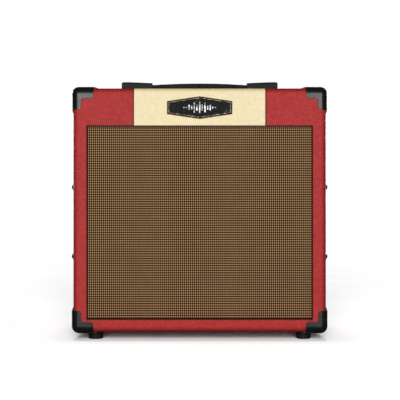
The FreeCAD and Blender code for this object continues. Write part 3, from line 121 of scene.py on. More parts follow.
def light_floor(floor, object_lights):
    """Two lights on the floor alone, so that it stays white, while the object still shades it."""
    receivers = bpy.data.collections.new("floor_only")
    receivers.objects.link(floor)
    for name, lean, spread, white in FLOOR_LIGHTS:
        data = bpy.data.lights.new(name, "SUN")
        data.energy = white * math.pi / (FLOOR_TONE * math.cos(math.radians(lean)))
        data.angle = math.radians(spread)
        light = bpy.data.objects.new(name, data)
        light.rotation_euler = (math.radians(lean), 0, 0)
        scene.collection.objects.link(light)
        light.light_linking.receiver_collection = receivers
    others = bpy.data.collections.new("all_but_floor")
    others.objects.link(floor)
    others.collection_objects[0].light_linking.link_state = "EXCLUDE"
    for light in object_lights:
        light.light_linking.receiver_collection = others


# ---- materials ----


class Paint:
    """A node material, written as a formula of the place on the object."""

    def __init__(self, name):
        self.material = bpy.data.materials.new(name)
        self.material.use_nodes = True
        self.tree = self.material.node_tree
        self.shader = self.tree.nodes["Principled BSDF"]
        self.place = self.tree.nodes.new("ShaderNodeTexCoord").outputs["Object"]

    def feed(self, socket, value):
        if isinstance(value, bpy.types.NodeSocket):
            self.tree.links.new(value, socket)
        elif socket.type == "RGBA" and len(value) == 3:
            socket.default_value = (*value, 1)
        else:
            socket.default_value = value

    def node(self, kind, inputs=(), **settings):
        node = self.tree.nodes.new("ShaderNode" + kind)
        for name, value in settings.items():
            setattr(node, name, value)
        for name, value in dict(inputs).items():
            self.feed(node.inputs[name], value)
        return node

    def math(self, operation, a, b=0.0, c=0.0):
        node = self.node("Math", operation=operation)
        for socket, value in zip(node.inputs, (a, b, c)):
            self.feed(socket, value)
        return node.outputs[0]

    def stretch(self, factors):
        """The place, scaled differently along each axis."""
        return self.node("Mapping", {"Vector": self.place, "Scale": factors}).outputs[0]

    def axis(self, letter):
        return self.node("SeparateXYZ", {"Vector": self.place}).outputs[letter.upper()]

    def noise(self, scale, detail=2.0, rough=0.5, at=None):
        inputs = {"Vector": at or self.place, "Scale": scale, "Detail": detail, "Roughness": rough}
        return self.node("TexNoise", inputs).outputs[0]

    def cells(self, scale, feature="DISTANCE_TO_EDGE", at=None):
        inputs = {"Vector": at or self.place, "Scale": scale}
        return self.node("TexVoronoi", inputs, feature=feature).outputs["Distance"]

    def step(self, value, low, high, start=0.0, end=1.0):
        """A smooth rise from start to end as the value goes from low to high."""
        inputs = {"Value": value, "From Min": low, "From Max": high, "To Min": start, "To Max": end}
        return self.node("MapRange", inputs, interpolation_type="SMOOTHSTEP").outputs[0]

    def mix(self, share, one, other):
        node = self.node("Mix", data_type="RGBA")
        self.feed(node.inputs[0], share)
        self.feed(node.inputs[6], one)
        self.feed(node.inputs[7], other)
        return node.outputs[2]

    def bump(self, height, depth, strength=1.0, under=None):
        inputs = {"Height": height, "Distance": depth, "Strength": strength}
        if under:
            inputs["Normal"] = under
        return self.node("Bump", inputs).outputs[0]

    def coat(self, **values):
        """Sets the shader's own sockets, such as Base_Color or Roughness."""
        for name, value in values.items():
            self.feed(self.shader.inputs[name.replace("_", " ")], value)
        return self.material


def shade(colour, factor):
    return tuple(min(1, c * factor) for c in colour)


GRILLE_GAP = 1.5 * MM


def opening_distance(p):
    """How far a point lies outside the rectangle of the grille's opening."""
    low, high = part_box("grille_cloth")
    beside = p.math("SUBTRACT", p.math("ABSOLUTE", p.axis("x")), high.x + GRILLE_GAP)
    above = p.math("SUBTRACT", p.axis("z"), high.z + GRILLE_GAP)
    below = p.math("SUBTRACT", low.z - GRILLE_GAP, p.axis("z"))
    return p.math("MAXIMUM", beside, p.math("MAXIMUM", above, below))


def vinyl_edges(p, base, colour, seam, edge):
    """Darkens the covering at its seam, and paints shade where it turns the front edge and round the
    grille's opening.
    """
    place, width = seam
    header_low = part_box("grille_cloth")[1].z
    header = p.step(p.axis("z"), header_low, header_low + 1 * MM)
    gap = p.math("ABSOLUTE", p.math("SUBTRACT", p.math("ABSOLUTE", p.axis("x")), place))
    beside = p.math("MULTIPLY", p.step(gap, 0, width, 1, 0), header)
    base = p.mix(p.math("MULTIPLY", beside, 0.8), base, shade(colour, 0.16))
    # Painted shade on the rounded front edges, where the covering turns away from the lights.
    depth = p.math("SUBTRACT", p.axis("y"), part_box("red_vinyl_covering")[0].y)
    turned = p.math("MULTIPLY", p.step(depth, 0.6 * MM, 2.2 * MM), p.step(depth, 9 * MM, 22 * MM, 1, 0))
    base = p.mix(p.math("MULTIPLY", turned, edge), base, shade(colour, 0.3))
    # Painted shade round the grille's opening, darkest at its rim.
    return p.mix(p.step(opening_distance(p), 0, 1.6 * MM, 0.5, 0), base, shade(colour, 0.2))


def vinyl(name, colour, seam, mottle, edge):
    """Grained leathercloth: small pebbles with creases between them, and a broad change of tone."""
    p = Paint(name)
    warp = p.node("TexNoise", {"Vector": p.place, "Scale": 240, "Detail": 1.0}).outputs["Color"]
    bent = p.node("Mix", data_type="VECTOR")
    p.feed(bent.inputs[0], 0.0016)
    p.feed(bent.inputs[4], p.place)
    p.feed(bent.inputs[5], warp)
    pebble = p.cells(760, at=bent.outputs[1])
    crease = p.step(pebble, 0.0, 0.22)
    fine = p.noise(3200, 2)
    tone = p.step(p.noise(17, 3), 0.32, 0.68)
    blotch = p.step(p.noise(260, 3), 0.38, 0.62)
    light, dark = shade(colour, 1 - 0.08 * mottle), shade(colour, 1 - 0.2 * mottle)
    base = p.mix(p.math("MULTIPLY", tone, 0.5), light, dark)
    base = p.mix(p.math("MULTIPLY", blotch, 0.75), base, shade(colour, 1 + 0.22 * mottle))
    # Painted shade in the creases between the pebbles.
    base = p.mix(p.step(crease, 0, 1, 0.35, 0.0), base, shade(colour, 0.55))
    base = vinyl_edges(p, base, colour, seam, edge)
    height = p.math("ADD", crease, p.math("MULTIPLY", fine, 0.35))
    return p.coat(
        Base_Color=base,
        Roughness=p.step(crease, 0, 1, 0.62, 0.44),
        Specular_IOR_Level=0.25,
        Normal=p.bump(height, 0.00022, 0.7),
    )


def plastic(name, colour, roughness=0.42, grain=1500, depth=0.00006, wear=0.25, shine=0.5):
    """Moulded plastic: a fine spark-eroded texture and faint scuffs."""
    p = Paint(name)
    texture = p.noise(grain, 3, 0.6)
    scuff = p.step(p.noise(90, 6, 0.7), 0.56, 0.7)
    base = p.mix(p.math("MULTIPLY", scuff, wear), colour, shade([c + 0.012 for c in colour], 1.6))
    even = p.step(texture, 0.3, 0.7, roughness - 0.06, roughness + 0.06)
    return p.coat(
        Base_Color=base,
        Roughness=p.math("ADD", even, p.math("MULTIPLY", scuff, 0.12)),
        Specular_IOR_Level=shine,
        Normal=p.bump(texture, depth, 0.5),
    )


def rubber(name, colour):
    p = Paint(name)
    texture = p.noise(700, 4, 0.65)
    dust = p.step(p.noise(60, 5, 0.7), 0.5, 0.75)
    base = p.mix(p.math("MULTIPLY", dust, 0.12), colour, (0.05, 0.048, 0.045))
    return p.coat(
        Base_Color=base,
        Roughness=p.step(texture, 0.2, 0.8, 0.62, 0.8),
        Specular_IOR_Level=0.25,
        Normal=p.bump(texture, 0.0001, 0.5),
    )


def metal(name, colour, roughness=0.3, brush=(40, 3000, 3000), depth=0.00002):
    """Brushed or plated metal, its marks drawn out along one axis."""
    p = Paint(name)
    lines = p.noise(1.0, 4, 0.6, at=p.stretch(brush))
    stain = p.step(p.noise(45, 4, 0.6), 0.35, 0.75)
    base = p.mix(p.math("MULTIPLY", stain, 0.3), colour, shade(colour, 0.72))
    even = p.step(lines, 0.3, 0.7, roughness - 0.07, roughness + 0.09)
    rough = p.math("ADD", even, p.math("MULTIPLY", stain, 0.08))
    return p.coat(Base_Color=base, Metallic=1.0, Roughness=rough, Normal=p.bump(lines, depth, 0.4))


def badge_metal():
    """Chromed level bars, and an old gold line round them."""
    p = Paint("badge_metal")
    low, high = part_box("badge_plate")
    across = p.math("ABSOLUTE", p.axis("x"))
    up = p.math("ABSOLUTE", p.math("SUBTRACT", p.axis("z"), (low.z + high.z) / 2))
    line = p.math("MAXIMUM", p.step(across, 27 * MM, 27.5 * MM), p.step(up, 9 * MM, 9.2 * MM))
    wear = p.step(p.noise(180, 3), 0.35, 0.7, 0.12, 0.24)
    base = p.mix(line, (0.88, 0.88, 0.86), (0.4, 0.36, 0.2))
    return p.coat(Base_Color=base, Metallic=1.0, Roughness=wear)


def enamel(name, colour, roughness=0.4):
    """Painted metal with a slight orange peel and fine dust."""
    p = Paint(name)
    peel = p.noise(420, 2)
    speck = p.step(p.cells(1400, "F1"), 0.0, 0.25)
    base = p.mix(p.step(speck, 0, 1, 0.25, 0), colour, shade([c + 0.02 for c in colour], 1.4))
    rough = p.step(peel, 0.3, 0.7, roughness - 0.05, roughness + 0.08)
    return p.coat(Base_Color=base, Roughness=rough, Normal=p.bump(peel, 0.00005, 0.4))


def timber(name, colour, along, dark=0.62, gloss=0.6):
    """Rotary cut veneer: long wavy figure and short pores along the grain."""
    p = Paint(name)
    slow = [16.0, 16.0, 16.0]
    quick = [900.0, 900.0, 900.0]
    slow["xyz".index(along)] = 1.6
    quick["xyz".index(along)] = 28.0
    figure = p.noise(1.0, 5, 0.55, at=p.stretch(slow))
    rings = p.math("FRACT", p.math("MULTIPLY", figure, 9.0))
    ring = p.step(p.math("ABSOLUTE", p.math("SUBTRACT", rings, 0.5)), 0.1, 0.5)
    pores = p.step(p.noise(1.0, 3, 0.6, at=p.stretch(quick)), 0.5, 0.72)
    base = p.mix(p.math("MULTIPLY", ring, 0.5), colour, shade(colour, dark + 0.1))
    base = p.mix(p.math("MULTIPLY", pores, 0.55), base, shade(colour, dark * 0.7))
    rough = p.step(pores, 0, 1, gloss, gloss + 0.15)
    return p.coat(Base_Color=base, Roughness=rough, Normal=p.bump(pores, -0.00012, 0.6))


def painted_board(name, colour):
    """Board rolled with matt paint, with the roller's stipple and the grain just showing."""
    p = Paint(name)
    stipple = p.noise(600, 3, 0.6)
    grain = p.noise(1.0, 4, 0.6, at=p.stretch((22, 600, 600)))
    height = p.math("ADD", stipple, p.math("MULTIPLY", grain, 0.8))
    base = p.mix(p.step(stipple, 0.4, 0.7), colour, shade([c + 0.004 for c in colour], 1.35))
    rough = p.step(grain, 0.3, 0.7, 0.6, 0.78)
    return p.coat(Base_Color=base, Roughness=rough, Normal=p.bump(height, 0.00014, 0.6))


def leather(name, colour):
    p = Paint(name)
    pebble = p.step(p.cells(620), 0, 0.25)
    pore = p.step(p.noise(2400, 2), 0.3, 0.6)
    # Painted shade in the creases between the pebbles.
    base = p.mix(p.step(pebble, 0, 1, 0.5, 0), colour, shade(colour, 0.4))
    base = p.mix(p.step(p.noise(30, 3), 0.45, 0.75, 0, 0.4), base, shade([c + 0.006 for c in colour], 1.8))
    height = p.math("ADD", pebble, p.math("MULTIPLY", pore, 0.2))
    return p.coat(
        Base_Color=base,
        Roughness=p.step(pebble, 0, 1, 0.65, 0.5),
        Specular_IOR_Level=0.14,
        Normal=p.bump(height, 0.00018, 0.7),
    )


WEAVE_X = 2.842 * MM
WEAVE_Z = 3.333 * MM


def grille_weave(name):
    """Open basket weave: tan floats where the yarns cross, dark brown yarn between, black in the holes."""
    p = Paint(name)

    def wave(letter, pitch):
        turns = p.math("MULTIPLY", p.axis(letter), 2 * math.pi / pitch)
        return p.math("MULTIPLY_ADD", p.math("COSINE", turns), 0.5, 0.5)

    across, up = wave("x", WEAVE_X), wave("z", WEAVE_Z)
    float_mask = p.step(p.math("MULTIPLY", across, up), 0.18, 0.62)
    yarn_mask = p.step(p.math("MAXIMUM", across, up), 0.55, 0.9)
    fibre = p.noise(1.0, 3, 0.6, at=p.stretch((2600, 2600, 9000)))
    shift = p.step(p.noise(30, 3), 0.3, 0.7)
    tan = p.mix(fibre, (0.56, 0.36, 0.18), (0.31, 0.18, 0.08))
    tan = p.mix(p.math("MULTIPLY", shift, 0.2), tan, (0.28, 0.16, 0.07))
    brown = p.mix(fibre, (0.085, 0.034, 0.008), (0.035, 0.012, 0.002))
    base = p.mix(yarn_mask, (0.012, 0.004, 0.001), brown)
    base = p.mix(float_mask, base, tan)
    height = p.math("ADD", float_mask, p.math("MULTIPLY", fibre, 0.3))
    return p.coat(
        Base_Color=base,
        Roughness=p.step(fibre, 0.3, 0.7, 0.55, 0.8),
        Specular_IOR_Level=0.06,
        Normal=p.bump(height, 0.00025, 0.5),
    )


def paper(name, colour):
    """Felted pulp: matted fibres over a cloudy sheet."""
    p = Paint(name)
    fibre = p.noise(1.0, 4, 0.7, at=p.stretch((900, 300, 1500)))
    cloud = p.noise(80, 3)
    base = p.mix(p.step(fibre, 0.35, 0.7), colour, shade(colour, 1.7))
    base = p.mix(p.step(cloud, 0.4, 0.7, 0, 0.4), base, shade(colour, 0.7))
    return p.coat(Base_Color=base, Roughness=0.9, Normal=p.bump(fibre, 0.00015, 0.7))


def cloth(name, colour, pitch):
    """A plain fine weave for treated cloth parts."""
    p = Paint(name)
    one = p.math("SINE", p.math("MULTIPLY", p.axis("x"), 2 * math.pi / pitch))
    two = p.math("SINE", p.math("MULTIPLY", p.axis("z"), 2 * math.pi / pitch))
    weave = p.math("MULTIPLY", one, two)
    # Painted shade where the weave dips.
    base = p.mix(p.step(weave, -0.6, 0.6), shade(colour, 0.6), colour)
    base = p.mix(p.step(p.noise(55, 3), 0.4, 0.7, 0, 0.3), base, shade(colour, 0.7))
    rough = p.step(weave, -1, 1, 0.7, 0.85)
    return p.coat(Base_Color=base, Roughness=rough, Normal=p.bump(weave, 0.00012, 0.6))


def lacquer_board(name):
    """Green board lacquer over copper tracks, with bare pads."""
    p = Paint(name)
    tracks = p.node(
        "TexBrick",
        {
            "Vector": p.place,
            "Scale": 90.0,
            "Mortar Size": 0.03,
            "Color1": (0.02, 0.14, 0.06, 1),
            "Color2": (0.015, 0.11, 0.05, 1),
            "Mortar": (0.05, 0.26, 0.12, 1),
        },
    )
    pads = p.step(p.cells(260, "F1"), 0.16, 0.2)
    base = p.mix(p.step(pads, 0, 1, 0.8, 0), tracks.outputs["Color"], (0.6, 0.58, 0.5))
    rough = p.step(p.noise(200), 0.3, 0.7, 0.2, 0.35)
    return p.coat(Base_Color=base, Roughness=rough, Normal=p.bump(pads, -0.00003, 0.5))


def laminations(name):
    """The stacked edges of thin varnished plates."""
    p = Paint(name)
    plates = p.math("FRACT", p.math("MULTIPLY", p.axis("z"), 1 / (0.5 * MM)))
    edge = p.step(p.math("ABSOLUTE", p.math("SUBTRACT", plates, 0.5)), 0.3, 0.5)
    rust = p.step(p.noise(150, 4), 0.5, 0.75)
    base = p.mix(edge, (0.11, 0.11, 0.115), (0.02, 0.02, 0.02))
    base = p.mix(p.math("MULTIPLY", rust, 0.4), base, (0.12, 0.06, 0.03))
    rough = p.step(rust, 0, 1, 0.4, 0.7)
    return p.coat(Base_Color=base, Metallic=0.7, Roughness=rough, Normal=p.bump(edge, -0.0001, 0.7))


def lens(name, colour):
    p = Paint(name)
    facet = p.noise(260, 1)
    base = p.mix(p.step(facet, 0.3, 0.7), colour, shade(colour, 0.6))
    return p.coat(
        Base_Color=base,
        Roughness=p.step(facet, 0.3, 0.7, 0.06, 0.14),
        Transmission_Weight=0.55,
        Coat_Weight=0.5,
        Normal=p.bump(facet, 0.0001, 0.3),
    )


def ferrite(name):
    p = Paint(name)
    grain = p.noise(1800, 3, 0.7)
    chip = p.step(p.noise(70, 6, 0.75), 0.6, 0.72)
    base = p.mix(p.math("MULTIPLY", chip, 0.6), (0.035, 0.034, 0.035), (0.1, 0.098, 0.095))
    rough = p.step(grain, 0.3, 0.7, 0.5, 0.66)
    return p.coat(Base_Color=base, Roughness=rough, Normal=p.bump(grain, 0.00008, 0.6))


STRIPE_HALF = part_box("cream_vinyl_stripe")[1].x
RED_SEAM = (STRIPE_HALF + 0.9 * MM, 1.8 * MM)  # its place across the front, and how far its shade reaches
CREAM_SEAM = (STRIPE_HALF, 0.9 * MM)
EVEN_BRUSH = (1800, 1800, 1800)


def cabinet_materials():
    # The last number of each vinyl is how strongly shade is painted on its front edges.
    red = vinyl("red_vinyl", (0.395, 0.0195, 0.0195), RED_SEAM, 1.0, 0.45)
    cream = vinyl("cream_vinyl", (0.87, 0.74, 0.46), CREAM_SEAM, 0.25, 0.1)
    black_board = painted_board("black_board", (0.012, 0.011, 0.011))
    ply_along_x = timber("plywood_along", (0.62, 0.42, 0.24), "x")
    ply_upright = timber("plywood_upright", (0.62, 0.42, 0.24), "z")
    return {
        "red_vinyl_covering": red,
        "cream_vinyl_stripe": cream,
        "cabinet_top_board": ply_along_x,
        "cabinet_bottom_board": ply_along_x,
        "header_board": ply_along_x,
        "cabinet_left_side": ply_upright,
        "cabinet_right_side": ply_upright,
        "battens": ply_upright,
        "baffle_board": black_board,
        "upper_back_panel": black_board,
        "lower_back_panel": black_board,
        "grille_frame": black_board,
        "grille_cloth": grille_weave("grille_weave"),
    }


def fitting_materials():
    nickel = metal("screw_nickel", (0.62, 0.6, 0.56), 0.22, EVEN_BRUSH)
    strap = leather("strap_leather", (0.008, 0.004, 0.002))
    return {
        "corner_protectors": plastic("corner_plastic", (0.0045, 0.0048, 0.005), 0.3, shine=0.28),
        "handle_end_caps": plastic("cap_plastic", (0.005, 0.004, 0.0035), 0.45, shine=0.09),
        "rubber_feet": rubber("foot_rubber", (0.004, 0.004, 0.004)),
        "wood_screws": metal("black_screw", (0.03, 0.029, 0.029), 0.34, EVEN_BRUSH),
        "speaker_screws": metal("speaker_screw", (0.08, 0.08, 0.082), 0.34, EVEN_BRUSH),
        "cup_washers": metal("black_nickel", (0.04, 0.038, 0.037), 0.3, EVEN_BRUSH),
        "chassis_bolts": nickel,
        "handle_fixings": nickel,
        "panel_nuts": nickel,
        "badge_plate": plastic("badge_enamel", (0.005, 0.005, 0.0058), 0.16, depth=0.00001, shine=0.25),
        "badge_inlay": badge_metal(),
        **{name: strap for name in nodes if name.startswith("strap_")},
    }


def control_materials():
    zinc = metal("zinc_steel", (0.55, 0.56, 0.56), 0.38)
    socket = plastic("socket_plastic", (0.014, 0.014, 0.014), 0.45)
    knob = plastic("knob_plastic", (0.012, 0.012, 0.0125), 0.26, depth=0.00003)
    return {
        "chassis_tray": zinc,
        "potentiometers": zinc,
        "speaker_pole_pieces": zinc,
        "control_panel": enamel("panel_enamel", (0.011, 0.011, 0.012), 0.36),
        "signal_jacks": socket,
        "mains_inlet": socket,
        "fuse_holder": socket,
        "rocker_housing": socket,
        "power_rocker": knob,
        "channel_button": plastic("button_plastic", (0.62, 0.58, 0.5), 0.3),
        "power_lamp": lens("lamp_lens", (0.8, 0.03, 0.015)),
        "circuit_board": lacquer_board("green_board"),
        "board_components": plastic("part_sleeve", (0.02, 0.028, 0.05), 0.35),
        "transformer_core": laminations("transformer_steel"),
        "transformer_coil": plastic("transformer_tape", (0.5, 0.3, 0.04), 0.4),
        **{name: knob for name in nodes if name.endswith("_knob")},
    }


def speaker_materials():
    return {
        "speaker_gasket": paper("gasket_card", (0.035, 0.032, 0.028)),
        "speaker_basket": enamel("basket_enamel", (0.014, 0.014, 0.015), 0.42),
        "speaker_magnet": ferrite("magnet_ferrite"),
        "speaker_surround": cloth("surround_cloth", (0.016, 0.015, 0.015), 0.9 * MM),
        "speaker_spider": cloth("spider_cloth", (0.46, 0.26, 0.07), 0.8 * MM),
        "speaker_cone": paper("cone_paper", (0.02, 0.0185, 0.017)),
        "dust_cap": paper("cap_paper", (0.017, 0.016, 0.015)),
        "voice_coil": metal("coil_aluminium", (0.7, 0.7, 0.7), 0.3),
        "speaker_terminals": metal("tag_brass", (0.62, 0.46, 0.2), 0.34, (1500, 1500, 1500)),
        "speaker_lead": rubber("wire_sleeve", (0.02, 0.02, 0.02)),
    }


def make_materials():
    """Gives every CAD node its material, and returns them by node."""
    by_node = {**cabinet_materials(), **fitting_materials(), **control_materials(), **speaker_materials()}
    for name, node in nodes.items():
        node.data.materials.clear()
        node.data.materials.append(by_node[name])
    return by_node


# ---- pieces ----


def prism(outline, low, high):
    """The corners and faces of an upright prism."""
    count = len(outline)
    vertices = [(x, y, low) for x, y in outline] + [(x, y, high) for x, y in outline]
    faces = [list(reversed(range(count))), [count + k for k in range(count)]]
    faces += [(k, (k + 1) % count, (k + 1) % count + count, k + count) for k in range(count)]
    return vertices, faces


def mesh_object(name, vertices, faces, material, smooth=True):
    mesh = bpy.data.meshes.new(name)
    mesh.from_pydata([tuple(v) for v in vertices], [], faces)
    mesh.materials.append(material)
    mesh.polygons.foreach_set("use_smooth", [smooth] * len(mesh.polygons))
    mesh.update()
    piece = bpy.data.objects.new(name, mesh)
    scene.collection.objects.link(piece)
    return piece


def make_floor(object_lights):
    p = Paint("floor_white")
    tone = p.step(p.noise(3, 2), 0.3, 0.7)
    p.coat(Base_Color=p.mix(tone, (0.93, 0.93, 0.93), (0.9, 0.9, 0.9)), Roughness=0.85)
    half = 60.0
    corners = [(-half, -half, 0), (half, -half, 0), (half, half, 0), (-half, half, 0)]
    floor = mesh_object("floor", corners, [(0, 1, 2, 3)], p.material, False)
    floor.visible_diffuse = False
    floor.visible_glossy = False
    light_floor(floor, object_lights)


CLOTH_TURN = 12 * MM
RELIEF = 0.16 * MM


def wrap(distance, half, depth):
    """Where a point of the cloth goes as it is wrapped round the frame: how far out, and how far back."""
    outward = abs(distance)
    if outward <= half:
        return distance, 0.0
    side = math.copysign(1.0, distance)
    past = outward - half
    if past <= depth:
        return side * half, past
    return side * (half - (past - depth)), depth


def cloth_lines(half, pitch, depth):
    """Where the cloth's grid lines run, from its middle: four to a yarn, then round the edge."""
    count = round(2 * half / (pitch / 4))
    face = [-half + 2 * half * i / count for i in range(count + 1)]
    stops = (depth * 0.5, depth, depth + CLOTH_TURN * 0.5, depth + CLOTH_TURN)
    outer = [half + stop for stop in stops]
    return [-v for v in reversed(outer)] + face + outer


def weave_rise(x, z):
    """How far the yarns stand out at a place."""
    across = 0.5 + 0.5 * math.cos(2 * math.pi * x / WEAVE_X)
    up = 0.5 + 0.5 * math.cos(2 * math.pi * z / WEAVE_Z)
    return RELIEF * (across * up + 0.4 * max(across, up))


def grid_faces(index, columns, rows):
    """The grid's faces, where all four corners are there."""
    faces = []
    for j in range(rows - 1):
        for i in range(columns - 1):
            ring = [(i, j), (i + 1, j), (i + 1, j + 1), (i, j + 1)]
            if all(corner in index for corner in ring):
                faces.append([index[corner] for corner in ring])
    return faces


def make_grille_cloth(material):
    """The cloth, stretched over the front of the frame, with its relief, and turned over the back of it."""
    low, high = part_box("grille_cloth")
    half_x, half_z = (high.x - low.x) / 2, (high.z - low.z) / 2
    middle = (low + high) / 2
    depth = high.y - low.y
    us, vs = cloth_lines(half_x, WEAVE_X, depth), cloth_lines(half_z, WEAVE_Z, depth)
    index = {}
    vertices = []
    for j, v in enumerate(vs):
        for i, u in enumerate(us):
            if abs(u) > half_x and abs(v) > half_z:
                continue
            x, back_x = wrap(u, half_x, depth)
            z, back_z = wrap(v, half_z, depth)
            back = max(back_x, back_z)
            rise = weave_rise(middle.x + x, middle.z + z) if back == 0.0 else 0.0
            index[i, j] = len(vertices)
            vertices.append((middle.x + x, low.y + back - rise, middle.z + z))
    faces = grid_faces(index, len(us), len(vs))
    piece = mesh_object("grille_cloth_sheet", vertices, faces, material)
    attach(piece, "cabinet")
    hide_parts("grille_cloth")


STRAP_HINGES = (32 * MM, 68 * MM)
STRAP_CUT = 50 * MM
SLOT_SPAN = (88 * MM, 98.5 * MM)
SLOT_HALF = 3.1 * MM
RING_STEP = 1.6 * MM
STRAP_CORNER = 1.7 * MM
STITCH_LINE = 0.76  # the stitches' place, as a share of the half width


def strap_top(x, tip_top, crown):
    """The height of the strap's top at a distance from its middle."""
    share = min(1.0, abs(x) / STRAP_HINGES[1])
    return tip_top + crown * (1 - share**2)


def strap_ring(x, half_width, bottom, top, corner):
    """A closed cross-section with soft corners, its top at the height it is given."""
    ring = []
    steps = 5
    middle = (bottom + top) / 2
    half_height = (top - bottom) / 2
    for quarter in range(4):
        cy = (half_width - corner) * (1 if quarter in (0, 3) else -1)
        cz = (half_height - corner) * (1 if quarter in (0, 1) else -1)
        for step in range(steps):
            angle = math.pi / 2 * (quarter + step / (steps - 1))
            y = cy + corner * math.cos(angle)
            z = cz + corner * math.sin(angle)
            ring.append((x, y, middle + z))
    return ring


def add_stitches(vertices, faces, start, end, y, height_at):
    """A row of short raised stitches along the strap."""
    pitch = 4.2 * MM
    length = 3.0 * MM
    radius = 0.35 * MM
    count = int((end - start) / pitch)
    for i in range(count):
        x0 = start + pitch * (i + 0.5) - length / 2
        base = len(vertices)
        rows = 5
        for r in range(rows):
            share = r / (rows - 1)
            x = x0 + length * share
            z = height_at(x) + radius * (math.sin(math.pi * share) - 0.5)
            for side in range(6):
                angle = math.pi * side / 3
                around = radius * (0.35 + 0.65 * math.sin(math.pi * share))
                vertices.append((x, y + around * math.cos(angle), z + around * math.sin(angle)))
        for r in range(rows - 1):
            for side in range(6):
                a = base + r * 6 + side
                b = base + r * 6 + (side + 1) % 6
                faces.append((a, b, b + 6, a + 6))
        faces.append([base + k for k in reversed(range(6))])
        faces.append([base + (rows - 1) * 6 + k for k in range(6)])


def strap_mesh(near, far, sign, centre_y, half_width, bottom, top_at):
    """One length of the strap on one side of its middle, with its stitches."""
    rings = round((far - near) / RING_STEP)
    vertices, faces = [], []
    for i in range(rings + 1):
        x = near + (far - near) * i / rings
        ring = strap_ring(x, half_width, bottom, top_at(x), STRAP_CORNER)
        vertices += [(px, centre_y + py, pz) for px, py, pz in ring]
    size = len(vertices) // (rings + 1)
    for i in range(rings):
        for k in range(size):
            a, b = i * size + k, i * size + (k + 1) % size
            faces.append((a, b, b + size, a + size))
    faces.append(list(reversed(range(size))))
    faces.append([rings * size + k for k in range(size)])
    stitch_end = min(far, STRAP_HINGES[1])
    for share in (-STITCH_LINE, STITCH_LINE):
        add_stitches(vertices, faces, near, stitch_end, centre_y + share * half_width, top_at)
    if sign < 0:
        faces = [list(reversed(face)) for face in faces]
    return [(sign * x, y, z) for x, y, z in vertices], faces


def make_strap(material):
    """The carrying strap in four lengths. Each reaches across one hinge, and they meet where nothing bends.
    """
    grip_low, grip_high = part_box("strap_grip")
    flex_low, flex_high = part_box("strap_flex_right")
    strap_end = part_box("strap_end_right")[1].x
    centre_y = (grip_low.y + grip_high.y) / 2
    half_width = (grip_high.y - grip_low.y) / 2
    bottom, tip_top = flex_low.z, flex_high.z
    crown = grip_high.z - tip_top

    def top_at(x):
        return strap_top(x, tip_top, crown)

    for side, sign in (("left", -1), ("right", 1)):
        flex, end = f"strap_flex_{side}", f"strap_end_{side}"
        lengths = [
            ("inner", 0.0, STRAP_CUT, flex, "strap_grip", STRAP_HINGES[0]),
            ("outer", STRAP_CUT, strap_end, end, flex, STRAP_HINGES[1]),
        ]
        for part, near, far, outer, inner, hinge in lengths:
            vertices, faces = strap_mesh(near, far, sign, centre_y, half_width, bottom, top_at)
            piece = mesh_object(f"strap_{part}_{side}", vertices, faces, material)
            if part == "outer":
                cut_slot(piece, sign, centre_y)
            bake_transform(piece)
            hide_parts(*([inner, outer] if part == "inner" else [outer]))


def cut_slot(piece, sign, centre_y):
    """The slot that lets the strap's end slide past its bolt."""
    near, far = SLOT_SPAN
    outline = []
    for centre, start in ((far, -90), (near, 90)):
        for i in range(9):
            angle = math.radians(start + 22.5 * i)
            x = sign * (centre + SLOT_HALF * math.cos(angle))
            outline.append((x, centre_y + SLOT_HALF * math.sin(angle)))
    grip_low, grip_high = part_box("strap_grip")
    low, high = grip_low.z - 8 * MM, grip_high.z + 5 * MM
    vertices, faces = prism(outline, low, high)
    if sign < 0:
        faces = [list(reversed(face)) for face in faces]
    cutter = mesh_object("slot_cutter", vertices, faces, piece.data.materials[0], False)
    boolean = piece.modifiers.new("slot", "BOOLEAN")
    boolean.object = cutter
    boolean.operation = "DIFFERENCE"
    boolean.solver = "EXACT"
    bake(piece)
    bpy.data.objects.remove(cutter)


def bake(piece):
    """Applies a piece's modifiers to its mesh."""
    graph = bpy.context.evaluated_depsgraph_get()
    mesh = bpy.data.meshes.new_from_object(piece.evaluated_get(graph))
    piece.modifiers.clear()
    piece.data = mesh


SECTORS = 16
SECTOR_STEPS = 10


def moving_ring(name, profile, material, node):
    """A ring about the speaker's axis, the flexible part between the basket and the cone, made in sectors.

    The profile is a closed outline of (radius, distance along Y). Each sector is made as a piece of its own.
    """
    centre_z = (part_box(node)[0].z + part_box(node)[1].z) / 2
    count = len(profile)
    for sector in range(SECTORS):
        vertices, faces = [], []
        for i in range(SECTOR_STEPS + 1):
            angle = 2 * math.pi * (sector + i / SECTOR_STEPS) / SECTORS
            for radius, y in profile:
                vertices.append((radius * math.cos(angle), y, centre_z + radius * math.sin(angle)))
        for i in range(SECTOR_STEPS):
            for k in range(count):
                a, b = i * count + k, i * count + (k + 1) % count
                faces.append((a, a + count, b + count, b))
        piece = mesh_object(f"{name}_{sector:02d}", vertices, faces, material)
        angle = 2 * math.pi * (sector + 0.5) / SECTORS
        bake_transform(piece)
        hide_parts(node)


def make_surround(material):
    """The half roll between the basket's rim and the edge of the cone."""
    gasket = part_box("speaker_gasket")
    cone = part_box("speaker_cone")
    rim_y = gasket[0].y
    outer = 94.8 * MM
    inner = 77.5 * MM
    roll_out, roll_in = 90.2 * MM, 81.4 * MM
    middle, radius = (roll_out + roll_in) / 2, (roll_out - roll_in) / 2
    skin = 0.8 * MM
    flange_y = rim_y + 3.0 * MM
    cone_y = cone[0].y - 0.4 * MM
    arc = [math.pi * i / 24 for i in range(25)]
    back = [(outer, flange_y)]
    back += [(middle + radius * math.cos(a), flange_y - radius * math.sin(a)) for a in arc]
    back += [(roll_in, cone_y), (inner, cone_y)]
    front = [(inner, cone_y - skin), (roll_in - skin, cone_y - skin)]
    front += [
        (middle + (radius + skin) * math.cos(a), flange_y - skin - (radius + 0.4 * MM) * math.sin(a))
        for a in reversed(arc)
    ]
    front += [(outer, flange_y - skin)]
    moving_ring("surround", back + front, material, "speaker_surround")


